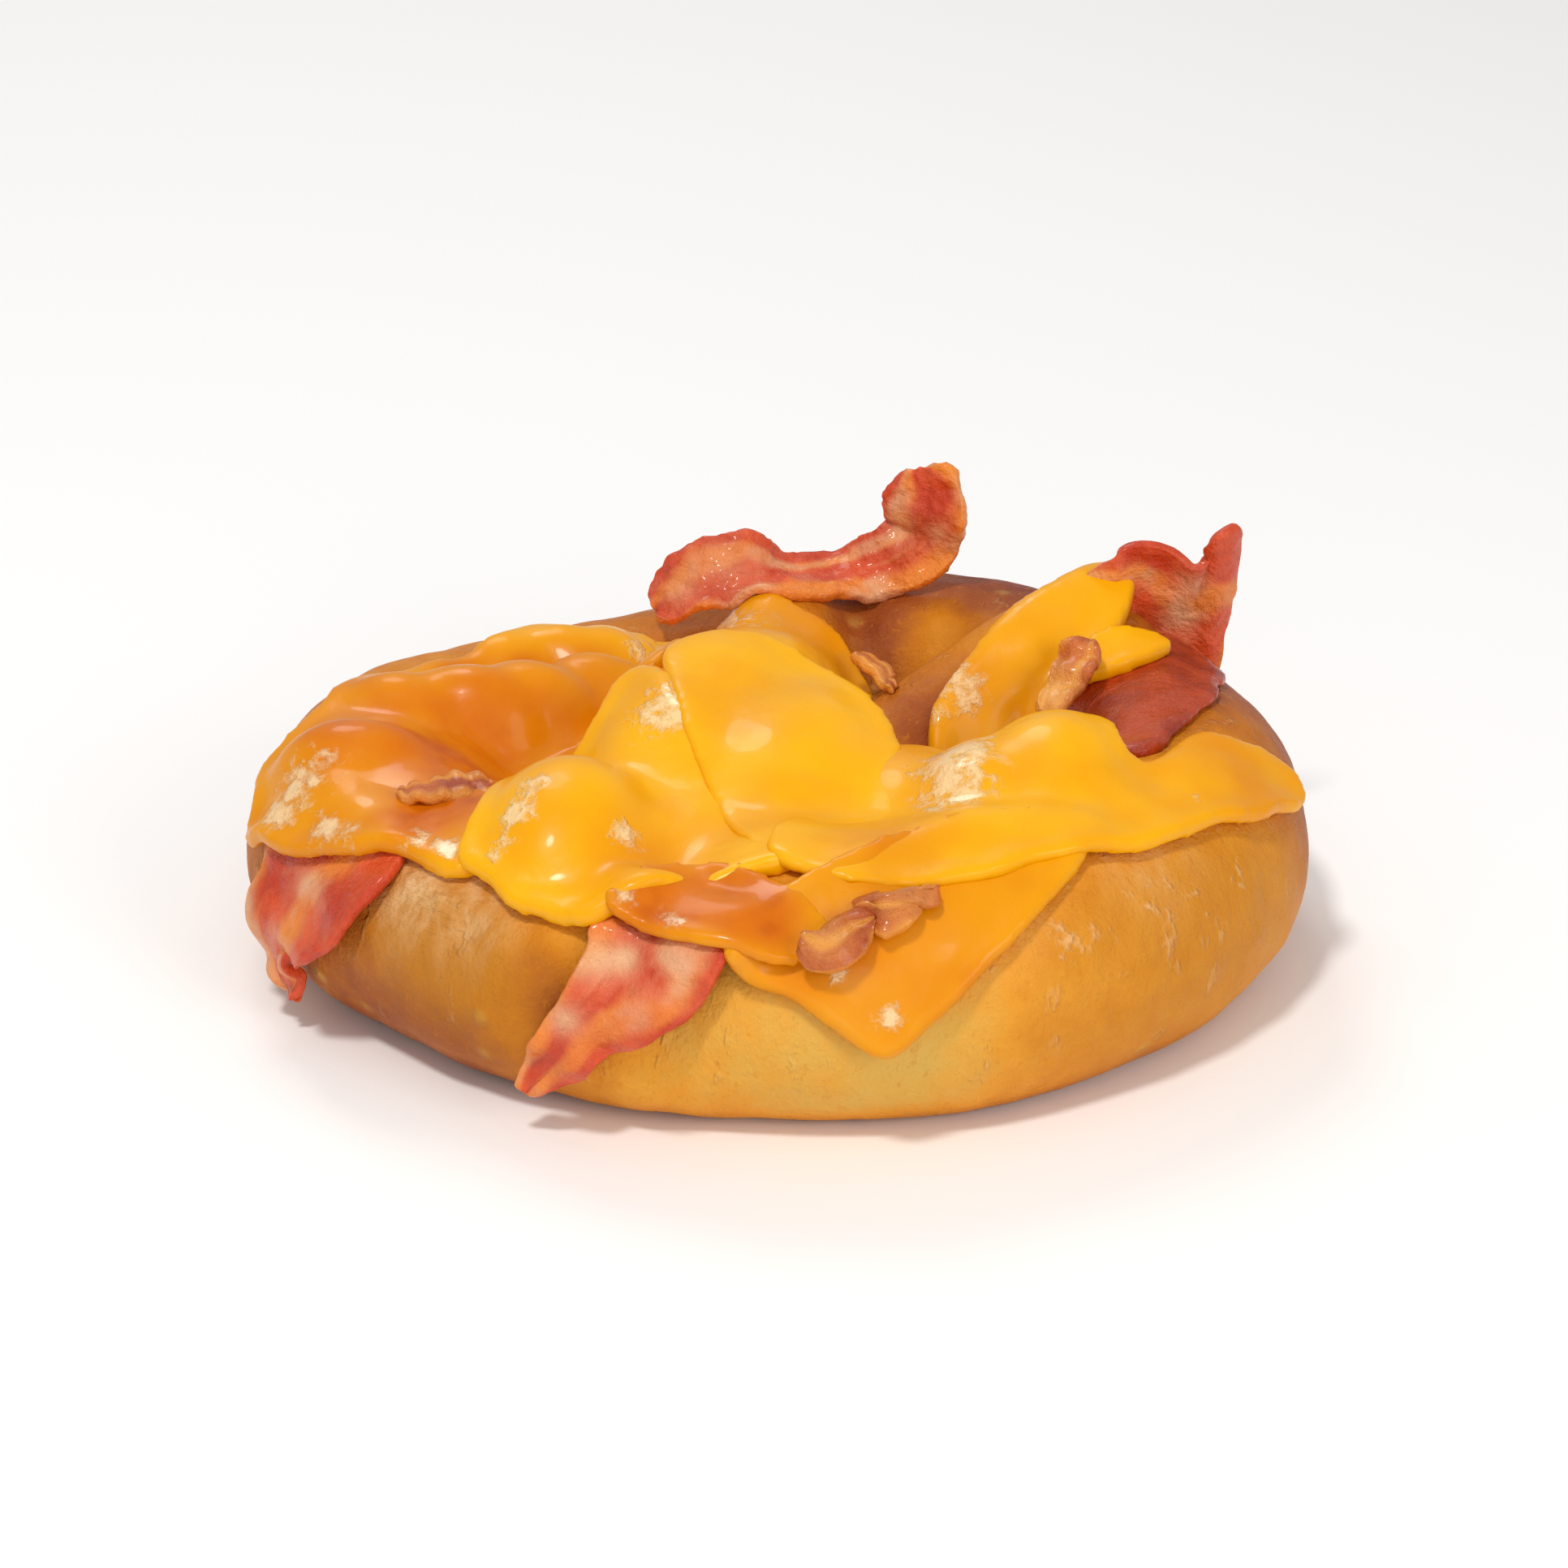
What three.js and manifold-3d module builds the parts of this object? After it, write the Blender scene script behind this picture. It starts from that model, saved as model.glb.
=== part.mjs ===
// A soft pretzel baked with slices of melted cheese and bacon strips.
// Millimetres, +Z up. The belly of the pretzel lies towards +Y, and its two loops meet in a cleft
// towards -Y. The origin is on the surface it rests on, under the middle of the whole object.

import * as THREE from 'three';
import { mergeVertices } from 'three/addons/utils/BufferGeometryUtils.js';
import Module from 'manifold-3d';

const wasm = await Module();
wasm.setup();

// ---- driving dimensions -------------------------------------------------------------------------

const ROPE_SIDES = 16;
const ROPE_RINGS = 26;
const END_ROUNDING = 8; // a rope's end is rounded over this fraction of its length: one in 8
const FIT = 0.3; // the gap between pieces that touch
const CHEESE = 1.9; // thickness of a melted slice
const BACON = 1.7; // thickness of a strip
const SKY = 70; // above everything
const MIDDLE = [0.6, -5.8]; // the middle of the whole object, measured from the middle of the twist
const TIDY = 0.02; // edges shorter than this are closed up

// All the positions below are measured from the middle of the twist.

// Routes of the dough: each loop runs from the belly round to the cleft, and each arm from the
// cleft over or under the other one to its tip on the far side of the belly. Each entry is
// [x, y, z of the rope's middle, half width, half height].
const ROUTES = {
  rightLoop: [
    [-12, 36, 13.5, 16, 16], [9, 39, 15.0, 18, 18], [29, 33, 15.0, 18, 18], [44, 18, 15.0, 18, 18.5],
    [52, -3, 14.5, 18, 18.5], [45, -25, 14.5, 18, 18], [27, -42, 14.5, 18, 18],
    [7, -48, 14.0, 17, 17], [-9, -46, 14.0, 15, 15],
  ],
  rightArm: [
    [4, -50, 13.0, 13, 13], [-2, -39, 15.0, 15.5, 15], [-7, -26, 19.0, 14.5, 14],
    [-9, -12, 25.0, 12.5, 13], [-5, 5, 27.0, 11, 11], [-4, 20, 28.0, 9, 9], [-6, 31, 28.0, 8, 7.5],
    [-8, 40, 24.5, 7, 6.5],
  ],
  leftLoop: [
    [9, 39, 15.0, 18, 18], [-12, 36, 13.5, 16, 16], [-31, 28, 12.5, 14.5, 13.5],
    [-45, 14, 13.0, 15.5, 14.5], [-51.5, -4, 13.5, 17, 16], [-48, -24, 13.5, 17.5, 16],
    [-32, -39, 13.5, 17.5, 16], [-12, -48, 14.0, 17.5, 16.5], [5, -47, 14.0, 15, 15],
  ],
  leftArm: [
    [-8, -50, 12.0, 13, 12], [-2, -40, 12.5, 15, 14], [3, -29, 13.0, 15, 14],
    [7, -13, 12.0, 12.5, 13], [12, 3, 16.0, 11, 11], [21, 13, 24.0, 9.5, 9],
    [34, 23, 30.5, 8.5, 8], [45, 32, 29.0, 7.5, 6.5],
  ],
};

// Melted cheese bridges the two big holes of the pretzel on these sagging humps, and it is pooled
// to the full depth of the last two. Each is a centre and its radii.
const BRIDGES = [
  { centre: [-24, -5, 12], radii: [19, 22, 11] },
  { centre: [29, -9, 15], radii: [15, 21, 13] },
];
const POOLS = [
  { centre: [3, -8, 25], radii: [15, 21, 12.5] },
  { centre: [32, -20, 21], radii: [17, 15, 10] },
];

// Outlines of the slices on the pretzel, seen from above, and how low each one hangs.
const SLICES = {
  cheese_slice_centre: {
    outline: [[-14, 10], [-15, 1], [-12, -9], [-8, -19], [0, -30], [8, -33], [16, -28], [20, -17],
      [19, -5], [13, 3], [5, 9], [-4, 12]],
    hangsTo: 20,
  },
  cheese_slice_right: {
    outline: [[18, -46], [31, -43], [45, -38], [55, -26], [68, -8], [69, 3], [66, 12], [59, 13],
      [53, 4], [45, -3], [38, 5], [30, 11], [22, 4], [18, -4], [17, -24], [10, -35], [11, -42]],
    hangsTo: 22,
  },
  cheese_slice_left_front: {
    outline: [[-41, -47], [-34, -51], [-27, -54], [-20, -60], [-11, -61], [-7, -52], [-2, -43],
      [-2, -34], [-8, -23], [-13, -13], [-18, -7], [-26, -12], [-34, -24], [-39, -37]],
    hangsTo: 16,
  },
  cheese_slice_left_back: {
    outline: [[-62, -32], [-55, -39], [-48, -44], [-42, -46], [-39.5, -37], [-34.5, -24],
      [-26.5, -11], [-18, -6], [-16, 4], [-17, 14], [-24, 26], [-34, 25], [-46, 18], [-55, 8],
      [-62, -6], [-65, -19]],
    hangsTo: 16,
  },
  cheese_slice_rear: {
    outline: [[-24, 27], [-17, 14], [-8, 14], [5, 11], [9, 17], [6, 28], [-3, 37], [-14, 36]],
    hangsTo: 18,
  },
  cheese_slice_arm: {
    outline: [[14, 4], [20, 6], [30, 14], [40, 20], [49, 28], [49, 36], [42, 38], [31, 33],
      [22, 24], [14, 13]],
    hangsTo: 22,
  },
  cheese_slice_wave: {
    outline: [[-10, -61], [-1, -63], [9, -63], [16, -56], [15, -48], [9, -36], [4, -33], [-1, -36],
      [-2, -44], [-6, -53]],
    hangsTo: 19,
  },
};

// The front slice hangs down the outside of the crust in a pointed corner: an outline seen from the
// front, in x and z.
const FRONT_CORNER = [[7, 40], [7, 24], [13, 20], [18, 16.5], [25, 11.5], [30, 15], [36, 22],
  [43, 29], [47, 40]];
const FRONT_CORNER_REACH = [-80, -38]; // from and to, in y

// Bacon strips. Each entry is [x, y, z of the middle, x, y, z of the direction across, half width].
const STRIPS = {
  bacon_strip_rear_curl: [
    [-23.5, 27, 30, 0.1, 0.9, 0.3, 4.5], [-17, 29, 34, -0.2, 0.8, 0.6, 7],
    [-9, 31, 35.5, 0, 0.9, 0.4, 7.5], [-1, 33, 35.5, 0, 1, 0.1, 7],
    [6, 35.5, 35.5, 0.1, 1, 0.1, 7], [12.5, 37.5, 38, -0.2, 1, 0.2, 7.5],
    [14, 38, 43, -0.2, 1, 0, 7.5], [11.5, 37, 47, 0, 1, -0.2, 7], [7, 35.5, 46.5, 0.2, 1, -0.2, 5],
  ],
  bacon_strip_rear_right: [
    [38, 29, 37, 0.3, 0.9, 0.2, 5], [42, 33, 37.5, -0.3, 0.5, 0.9, 5],
    [46.5, 37.5, 35.5, 0.1, 0.4, 1, 5.5], [50.5, 40.5, 34.5, 0.2, 0.2, 1, 7],
    [54, 41, 33.5, 0.2, -0.1, 1, 7.5], [56, 39, 32, 0.3, -0.3, 0.9, 4],
  ],
  bacon_strip_fold: [
    [36, 14.5, 37.5, 0.9, -0.3, 0, 3.5], [39, 9, 36, 0.9, -0.3, 0.1, 4],
    [42, 3, 35.5, 0.9, -0.3, 0.1, 3],
  ],
  bacon_strip_left: [
    [-51.5, -43, 23, 0.85, -0.45, 0.25, 9], [-54.5, -45, 17.5, 0.75, -0.6, 0.25, 7.5],
    [-55.5, -45.5, 12, 0.7, -0.65, 0.2, 5], [-54, -46, 8, 0.7, -0.7, 0.1, 3.2],
    [-52.5, -46.5, 4.5, 0.7, -0.7, 0, 1.8],
  ],
  bacon_strip_front: [
    [-1.5, -62, 26, 0.95, -0.1, 0.1, 9.5], [-3.5, -65.3, 21, 0.95, -0.1, -0.2, 9],
    [-9, -67.2, 15.5, 0.8, 0, -0.5, 6], [-13.5, -67, 11, 0.75, 0, -0.65, 3.8],
    [-17.5, -65.6, 6, 0.8, 0, -0.6, 1.6],
  ],
  bacon_bit_front: [
    [16, -59, 30.5, 0.3, 0.2, 0.9, 2.4], [20, -56.5, 32.6, 0.3, 0.8, 0.5, 3.2],
    [25, -51, 34.4, 0.6, 0.6, 0.4, 3.2], [27.5, -48, 34.8, 0.5, 0.8, 0, 2],
  ],
  bacon_bit_left: [
    [-40, -27, 32.6, 0.3, 0.9, 0, 2.6], [-36, -29, 33, 0.3, 0.9, 0, 3.2],
    [-32, -31, 33, 0.3, 0.9, 0, 2.4],
  ],
  bacon_bit_centre: [
    [1, 20, 39.4, 0.5, 0.9, -0.2, 3], [5, 18, 37.6, 0.4, 0.9, -0.2, 3.4],
    [9.5, 16, 33.5, 0.4, 0.9, -0.2, 2.4],
  ],
};

// ---- solids ---------------------------------------------------------------------------------------

function toManifold(geometry) {
  const bare = geometry.clone();
  bare.deleteAttribute('normal');
  bare.deleteAttribute('uv');
  const merged = mergeVertices(bare, 1e-4);
  return new wasm.Manifold(new wasm.Mesh({
    numProp: 3,
    vertProperties: new Float32Array(merged.attributes.position.array),
    triVerts: new Uint32Array(merged.index.array),
  }));
}

function toGeometry(solid) {
  const { vertProperties, triVerts } = solid.getMesh();
  const geometry = new THREE.BufferGeometry();
  geometry.setAttribute('position', new THREE.BufferAttribute(new Float32Array(vertProperties), 3));
  geometry.setIndex(new THREE.BufferAttribute(new Uint32Array(triVerts), 1));
  geometry.computeVertexNormals();
  return geometry;
}

// The largest body of a solid, without the slivers that the cuts leave.
function biggestPiece(solid) {
  let best = solid;
  for (let pass = 0; pass < 3; pass++) {
    const pieces = toManifold(toGeometry(best.simplify(TIDY))).decompose();
    best = pieces.reduce((kept, piece) => (piece.volume() > kept.volume() ? piece : kept));
  }
  return best;
}

// A sphere stretched along a route: its poles are the two ends of the rope.
function ropeSolid(route, grow) {
  const middle = new THREE.CatmullRomCurve3(route.map(([x, y, z]) => new THREE.Vector3(x, y, z)));
  const girth = new THREE.CatmullRomCurve3(route.map((p) => new THREE.Vector3(p[3], p[4], 0)));
  const geometry = new THREE.SphereGeometry(1, ROPE_SIDES, ROPE_RINGS);
  const position = geometry.attributes.position;
  const up = new THREE.Vector3(0, 0, 1);
  for (let i = 0; i < position.count; i++) {
    const along = Math.acos(THREE.MathUtils.clamp(position.getY(i), -1, 1)) / Math.PI;
    const turn = Math.atan2(position.getZ(i), position.getX(i));
    const fromEnd = Math.min(1, Math.min(along, 1 - along) * END_ROUNDING);
    const rounding = Math.sqrt(Math.max(0, 1 - (1 - fromEnd) ** 2));
    const tangent = middle.getTangent(along);
    const across = new THREE.Vector3().crossVectors(up, tangent).normalize();
    const lift = new THREE.Vector3().crossVectors(tangent, across).normalize();
    const { x: halfWidth, y: halfHeight } = girth.getPoint(along);
    const point = middle.getPoint(along);
    point.addScaledVector(across, rounding * (halfWidth + grow) * Math.cos(turn));
    point.addScaledVector(lift, rounding * (halfHeight + grow) * Math.sin(turn));
    point.addScaledVector(tangent, (along < 0.5 ? -grow : grow) * (1 - fromEnd));
    position.setXYZ(i, point.x, point.y, point.z);
  }
  return toManifold(geometry);
}

function dough(grow) {
  return wasm.Manifold.union(Object.values(ROUTES).map((route) => ropeSolid(route, grow)));
}

function humps(list, grow) {
  return wasm.Manifold.union(list.map(({ centre, radii }) => {
    const geometry = new THREE.SphereGeometry(1, 20, 12);
    geometry.scale(radii[0] + grow, radii[1] + grow, radii[2] + grow);
    geometry.translate(...centre);
    return toManifold(geometry);
  }));
}

function aboveTheSurface(solid) {
  const box = new THREE.BoxGeometry(300, 300, 200);
  box.translate(0, 0, 100);
  return solid.intersect(toManifold(box));
}

// A column with a smooth outline in plan, widened all round by grow.
function column(outline, from, to, grow) {
  const shape = new THREE.Shape();
  const curve = new THREE.CatmullRomCurve3(outline.map(([x, y]) => new THREE.Vector3(x, y, 0)), true);
  shape.setFromPoints(curve.getPoints(outline.length * 3).slice(0, -1));
  const geometry = new THREE.ExtrudeGeometry(shape, {
    depth: to - from,
    bevelEnabled: grow > 0,
    bevelThickness: grow,
    bevelSize: 0,
    bevelOffset: grow,
    bevelSegments: 1,
  });
  geometry.translate(0, 0, from);
  return toManifold(geometry);
}

// A column that runs along y, from an outline in x and z.
function frontColumn(outline, [from, to], grow) {
  const shape = new THREE.Shape(outline.map(([x, z]) => new THREE.Vector2(x, z)));
  const geometry = new THREE.ExtrudeGeometry(shape, {
    depth: to - from,
    bevelEnabled: grow > 0,
    bevelThickness: grow,
    bevelSize: 0,
    bevelOffset: grow,
    bevelSegments: 1,
  });
  geometry.rotateX(Math.PI / 2);
  geometry.translate(0, to, 0);
  return toManifold(geometry);
}

// A block bent along a strip's sections: its width lies across, its depth along.
function stripSolid(sections, grow) {
  const middle = new THREE.CatmullRomCurve3(sections.map((s) => new THREE.Vector3(s[0], s[1], s[2])));
  const across = new THREE.CatmullRomCurve3(sections.map((s) => new THREE.Vector3(s[3], s[4], s[5])));
  const width = new THREE.CatmullRomCurve3(sections.map((s) => new THREE.Vector3(s[6], 0, 0)));
  const geometry = new THREE.BoxGeometry(2, 2, 2, 2, 1, sections.length * 2);
  const position = geometry.attributes.position;
  for (let i = 0; i < position.count; i++) {
    const along = (position.getZ(i) + 1) / 2;
    const tangent = middle.getTangent(along);
    const normal = new THREE.Vector3().crossVectors(tangent, across.getPoint(along)).normalize();
    const side = new THREE.Vector3().crossVectors(normal, tangent).normalize();
    const point = middle.getPoint(along);
    const endOverhang = grow * Math.sign(Math.round((along - 0.5) * 2.0001));
    point.addScaledVector(side, position.getX(i) * (width.getPoint(along).x + grow));
    point.addScaledVector(normal, position.getY(i) * (BACON / 2 + grow));
    point.addScaledVector(tangent, endOverhang);
    position.setXYZ(i, point.x, point.y, point.z);
  }
  return toManifold(geometry);
}

// ---- the object ---------------------------------------------------------------------------------

const group = new THREE.Group();

function addPiece(name, solid, colour, roughness) {
  const material = new THREE.MeshStandardMaterial({ color: colour, roughness, metalness: 0 });
  const mesh = new THREE.Mesh(toGeometry(solid), material);
  mesh.geometry.translate(-MIDDLE[0], -MIDDLE[1], 0);
  mesh.name = name;
  group.add(mesh);
}

const bread = biggestPiece(aboveTheSurface(dough(0)));
addPiece('pretzel_bread', bread, 0xc98a3c, 0.55);

const under = dough(FIT).add(humps(BRIDGES, FIT));
const topOf = (grow) => dough(grow).add(humps(BRIDGES, grow)).add(humps(POOLS, grow));
const top = topOf(FIT + CHEESE);
const topClear = topOf(2 * FIT + CHEESE);
const melted = top.subtract(under);
let taken = dough(FIT);

for (const [name, { outline, hangsTo }] of Object.entries(SLICES)) {
  const piece = melted.intersect(column(outline, hangsTo, SKY, 0)).subtract(taken);
  addPiece(name, biggestPiece(piece), 0xf5a30a, 0.3);
  taken = taken.add(topClear.intersect(column(outline, hangsTo, SKY, FIT)));
}

const corner = melted.intersect(frontColumn(FRONT_CORNER, FRONT_CORNER_REACH, 0)).subtract(taken);
addPiece('cheese_slice_front', biggestPiece(corner), 0xf5a30a, 0.3);
taken = taken.add(topClear.intersect(frontColumn(FRONT_CORNER, FRONT_CORNER_REACH, FIT)));

for (const [name, sections] of Object.entries(STRIPS)) {
  const strip = aboveTheSurface(stripSolid(sections, 0)).subtract(taken);
  addPiece(name, biggestPiece(strip), 0xb5442c, 0.35);
  taken = taken.add(stripSolid(sections, FIT));
}

export default group;
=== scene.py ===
"""A soft pretzel baked with slices of melted cheese and strips of bacon.

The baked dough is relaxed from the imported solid. Each slice of cheese is laid over the dough and the
slices below it, sinks on to them, and gets a rounded lip. Each strip of bacon is a ruffled ribbon.
Lengths are in mm, measured from the middle of the twist, unless a comment says that they are in metres.
"""

import logging
import math
from dataclasses import dataclass, field
from enum import Enum
from typing import Optional, Sequence

import bmesh
import bpy
import numpy as np
from mathutils import Matrix, Vector, noise
from mathutils.bvhtree import BVHTree
from mathutils.kdtree import KDTree

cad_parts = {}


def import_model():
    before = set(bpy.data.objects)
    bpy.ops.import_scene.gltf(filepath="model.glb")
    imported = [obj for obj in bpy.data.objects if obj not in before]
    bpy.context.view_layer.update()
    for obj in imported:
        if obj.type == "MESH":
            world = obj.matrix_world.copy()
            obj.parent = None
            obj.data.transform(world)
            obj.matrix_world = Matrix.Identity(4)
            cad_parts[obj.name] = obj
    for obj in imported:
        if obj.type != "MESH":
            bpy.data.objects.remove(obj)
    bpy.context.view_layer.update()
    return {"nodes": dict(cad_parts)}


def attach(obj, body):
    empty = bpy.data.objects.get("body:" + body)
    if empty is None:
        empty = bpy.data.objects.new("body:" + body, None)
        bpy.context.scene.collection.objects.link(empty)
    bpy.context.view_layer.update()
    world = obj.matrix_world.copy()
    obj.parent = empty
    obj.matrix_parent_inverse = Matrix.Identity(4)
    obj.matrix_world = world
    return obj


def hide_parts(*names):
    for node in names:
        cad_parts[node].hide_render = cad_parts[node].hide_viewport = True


LOG = logging.getLogger("pretzel")
MM = 0.001
TWIST = Vector((-0.6, 5.8, 0.0))  # the middle of the twist, from the frame's origin
UP = Vector((0.0, 0.0, 1.0))
SMOOTHED = 0.5  # how far each round of smoothing moves a point towards its neighbours

Point = tuple[float, float, float]
Colour = tuple[float, float, float, float]


class Slot(Enum):
    """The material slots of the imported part."""

    CRUST = "crust"
    CHEESE = "cheese"
    BACON = "bacon"


def place(x: float, y: float, z: float = 0.0) -> Vector:
    """Gives the place, in metres, of a point measured in mm from the middle of the twist.

    Args:
        x: mm to the right.
        y: mm towards the belly.
        z: mm above the surface.

    Returns:
        The point in the frame.
    """
    return (Vector((x, y, z)) + TWIST) * MM


# ---- shaders --------------------------------------------------------------------------------------


class Value:
    """A number that varies over a surface, with Python's arithmetic on it."""

    def __init__(self, tree: "Shader", socket: bpy.types.NodeSocket) -> None:
        """Wraps an output socket of a tree."""
        self.tree = tree
        self.socket = socket

    def _math(self, operation: str, *operands: "Value | float") -> "Value":
        """Adds a Math node.

        Args:
            operation: The node's operation.
            operands: Its inputs in order.

        Returns:
            The node's result.
        """
        inputs = {i: operand for i, operand in enumerate(operands)}
        node = self.tree.add("ShaderNodeMath", {"operation": operation}, inputs)
        return Value(self.tree, node.outputs[0])

    def __add__(self, other: "Value | float") -> "Value":
        """Adds."""
        return self._math("ADD", self, other)

    def __radd__(self, other: float) -> "Value":
        """Adds, reflected."""
        return self._math("ADD", other, self)

    def __sub__(self, other: "Value | float") -> "Value":
        """Subtracts."""
        return self._math("SUBTRACT", self, other)

    def __rsub__(self, other: float) -> "Value":
        """Subtracts, reflected."""
        return self._math("SUBTRACT", other, self)

    def __mul__(self, other: "Value | float") -> "Value":
        """Multiplies."""
        return self._math("MULTIPLY", self, other)

    def __rmul__(self, other: float) -> "Value":
        """Multiplies, reflected."""
        return self._math("MULTIPLY", other, self)

    def step(self, low: float, high: float) -> "Value":
        """Rises smoothly from 0 at low to 1 at high.

        Args:
            low: The value that gives 0.
            high: The value that gives 1. It may be below low.

        Returns:
            The eased value.
        """
        inputs = {0: self, 1: low, 2: high}
        if high < low:
            inputs = {0: self, 1: high, 2: low, 3: 1.0, 4: 0.0}
        node = self.tree.add("ShaderNodeMapRange", {"interpolation_type": "SMOOTHSTEP"}, inputs)
        return Value(self.tree, node.outputs[0])


class Shader:
    """A material's node tree, with one principled surface."""

    def __init__(self, name: str) -> None:
        """Makes the material.

        Args:
            name: The material's name.
        """
        self.material = bpy.data.materials.new(name)
        self.material.use_nodes = True
        self.nodes = self.material.node_tree.nodes
        self.links = self.material.node_tree.links
        self.surface = self.nodes["Principled BSDF"]
        self.coords = self.add("ShaderNodeTexCoord", {}, {}).outputs["Object"]

    def add(self, kind: str, settings: dict, inputs: dict) -> bpy.types.Node:
        """Adds a node.

        Args:
            kind: The node's type.
            settings: Its properties, set first. A ramp's stops are given as "stops".
            inputs: Values or links for its sockets, by name or number.

        Returns:
            The node.
        """
        node = self.nodes.new(kind)
        for key, value in settings.items():
            if key == "stops":
                self._set_stops(node.color_ramp, value)
            else:
                setattr(node, key, value)
        for key, value in inputs.items():
            self.feed(node.inputs[key], value)
        return node

    @staticmethod
    def _set_stops(ramp: bpy.types.ColorRamp, stops: Sequence[tuple[float, Colour]]) -> None:
        """Puts the stops of a colour ramp in place.

        Args:
            ramp: The ramp.
            stops: Each stop's position and colour.
        """
        while len(ramp.elements) < len(stops):
            ramp.elements.new(0.5)
        for element, (position, colour) in zip(ramp.elements, stops):
            element.position = position
            element.color = colour

    def feed(self, socket: bpy.types.NodeSocket, value: object) -> None:
        """Links or sets one input socket.

        Args:
            socket: The input.
            value: A Value, an output socket, or a constant.
        """
        if isinstance(value, Value):
            self.links.new(value.socket, socket)
        elif isinstance(value, bpy.types.NodeSocket):
            self.links.new(value, socket)
        else:
            socket.default_value = value

    def noise(
        self,
        size: float,
        detail: float = 2.0,
        roughness: float = 0.5,
        stretch: Point = (1.0, 1.0, 1.0),
        shift: float = 0.0,
        coords: Optional[bpy.types.NodeSocket] = None,
    ) -> Value:
        """Gives fractal noise.

        Args:
            size: The size of its largest features, in metres (or in the units of coords).
            detail: Octaves.
            roughness: Strength of the finer octaves.
            stretch: How much the coordinates are multiplied along x, y and z.
            shift: Moves the pattern.
            coords: Coordinates in place of the object's own.

        Returns:
            A value around 0.5.
        """
        location = (shift, shift * 0.7, shift * 1.3)
        mapping = self.add(
            "ShaderNodeMapping",
            {},
            {"Vector": coords or self.coords, "Location": location, "Scale": stretch},
        )
        node = self.add(
            "ShaderNodeTexNoise",
            {},
            {"Vector": mapping.outputs[0], "Scale": 1.0 / size, "Detail": detail, "Roughness": roughness},
        )
        return Value(self, node.outputs["Fac"])

    def cells(self, size: float) -> Value:
        """Gives the distance to the nearest of many scattered points.

        Args:
            size: Their spacing, in metres.

        Returns:
            The distance, in spacings.
        """
        node = self.add("ShaderNodeTexVoronoi", {}, {"Vector": self.coords, "Scale": 1.0 / size})
        return Value(self, node.outputs["Distance"])

    def attribute(self, name: str) -> Value:
        """Reads a number stored on the mesh."""
        node = self.add("ShaderNodeAttribute", {"attribute_name": name}, {})
        return Value(self, node.outputs["Fac"])

    def mix(self, amount: Value | float, low: object, high: object) -> bpy.types.NodeSocket:
        """Mixes two colours.

        Args:
            amount: 0 gives low, 1 gives high.
            low: A colour or a colour socket.
            high: A colour or a colour socket.

        Returns:
            The mixed colour.
        """
        settings = {"data_type": "RGBA", "clamp_factor": True}
        return self.add("ShaderNodeMix", settings, {0: amount, 6: low, 7: high}).outputs[2]

    def bump(self, height: Value, depth: float, strength: float = 1.0) -> bpy.types.NodeSocket:
        """Turns a height into a normal.

        Args:
            height: The height, from 0 to 1.
            depth: What a height of 1 means, in metres.
            strength: The bump's strength.

        Returns:
            The normal.
        """
        node = self.add("ShaderNodeBump", {}, {"Height": height, "Distance": depth, "Strength": strength})
        return node.outputs[0]

    def finish(self, **sockets: object) -> bpy.types.Material:
        """Feeds the surface's sockets.

        Args:
            sockets: Their values, by name, with underscores for spaces.

        Returns:
            The material.
        """
        for name, value in sockets.items():
            self.feed(self.surface.inputs[name.replace("_", " ")], value)
        return self.material


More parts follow.
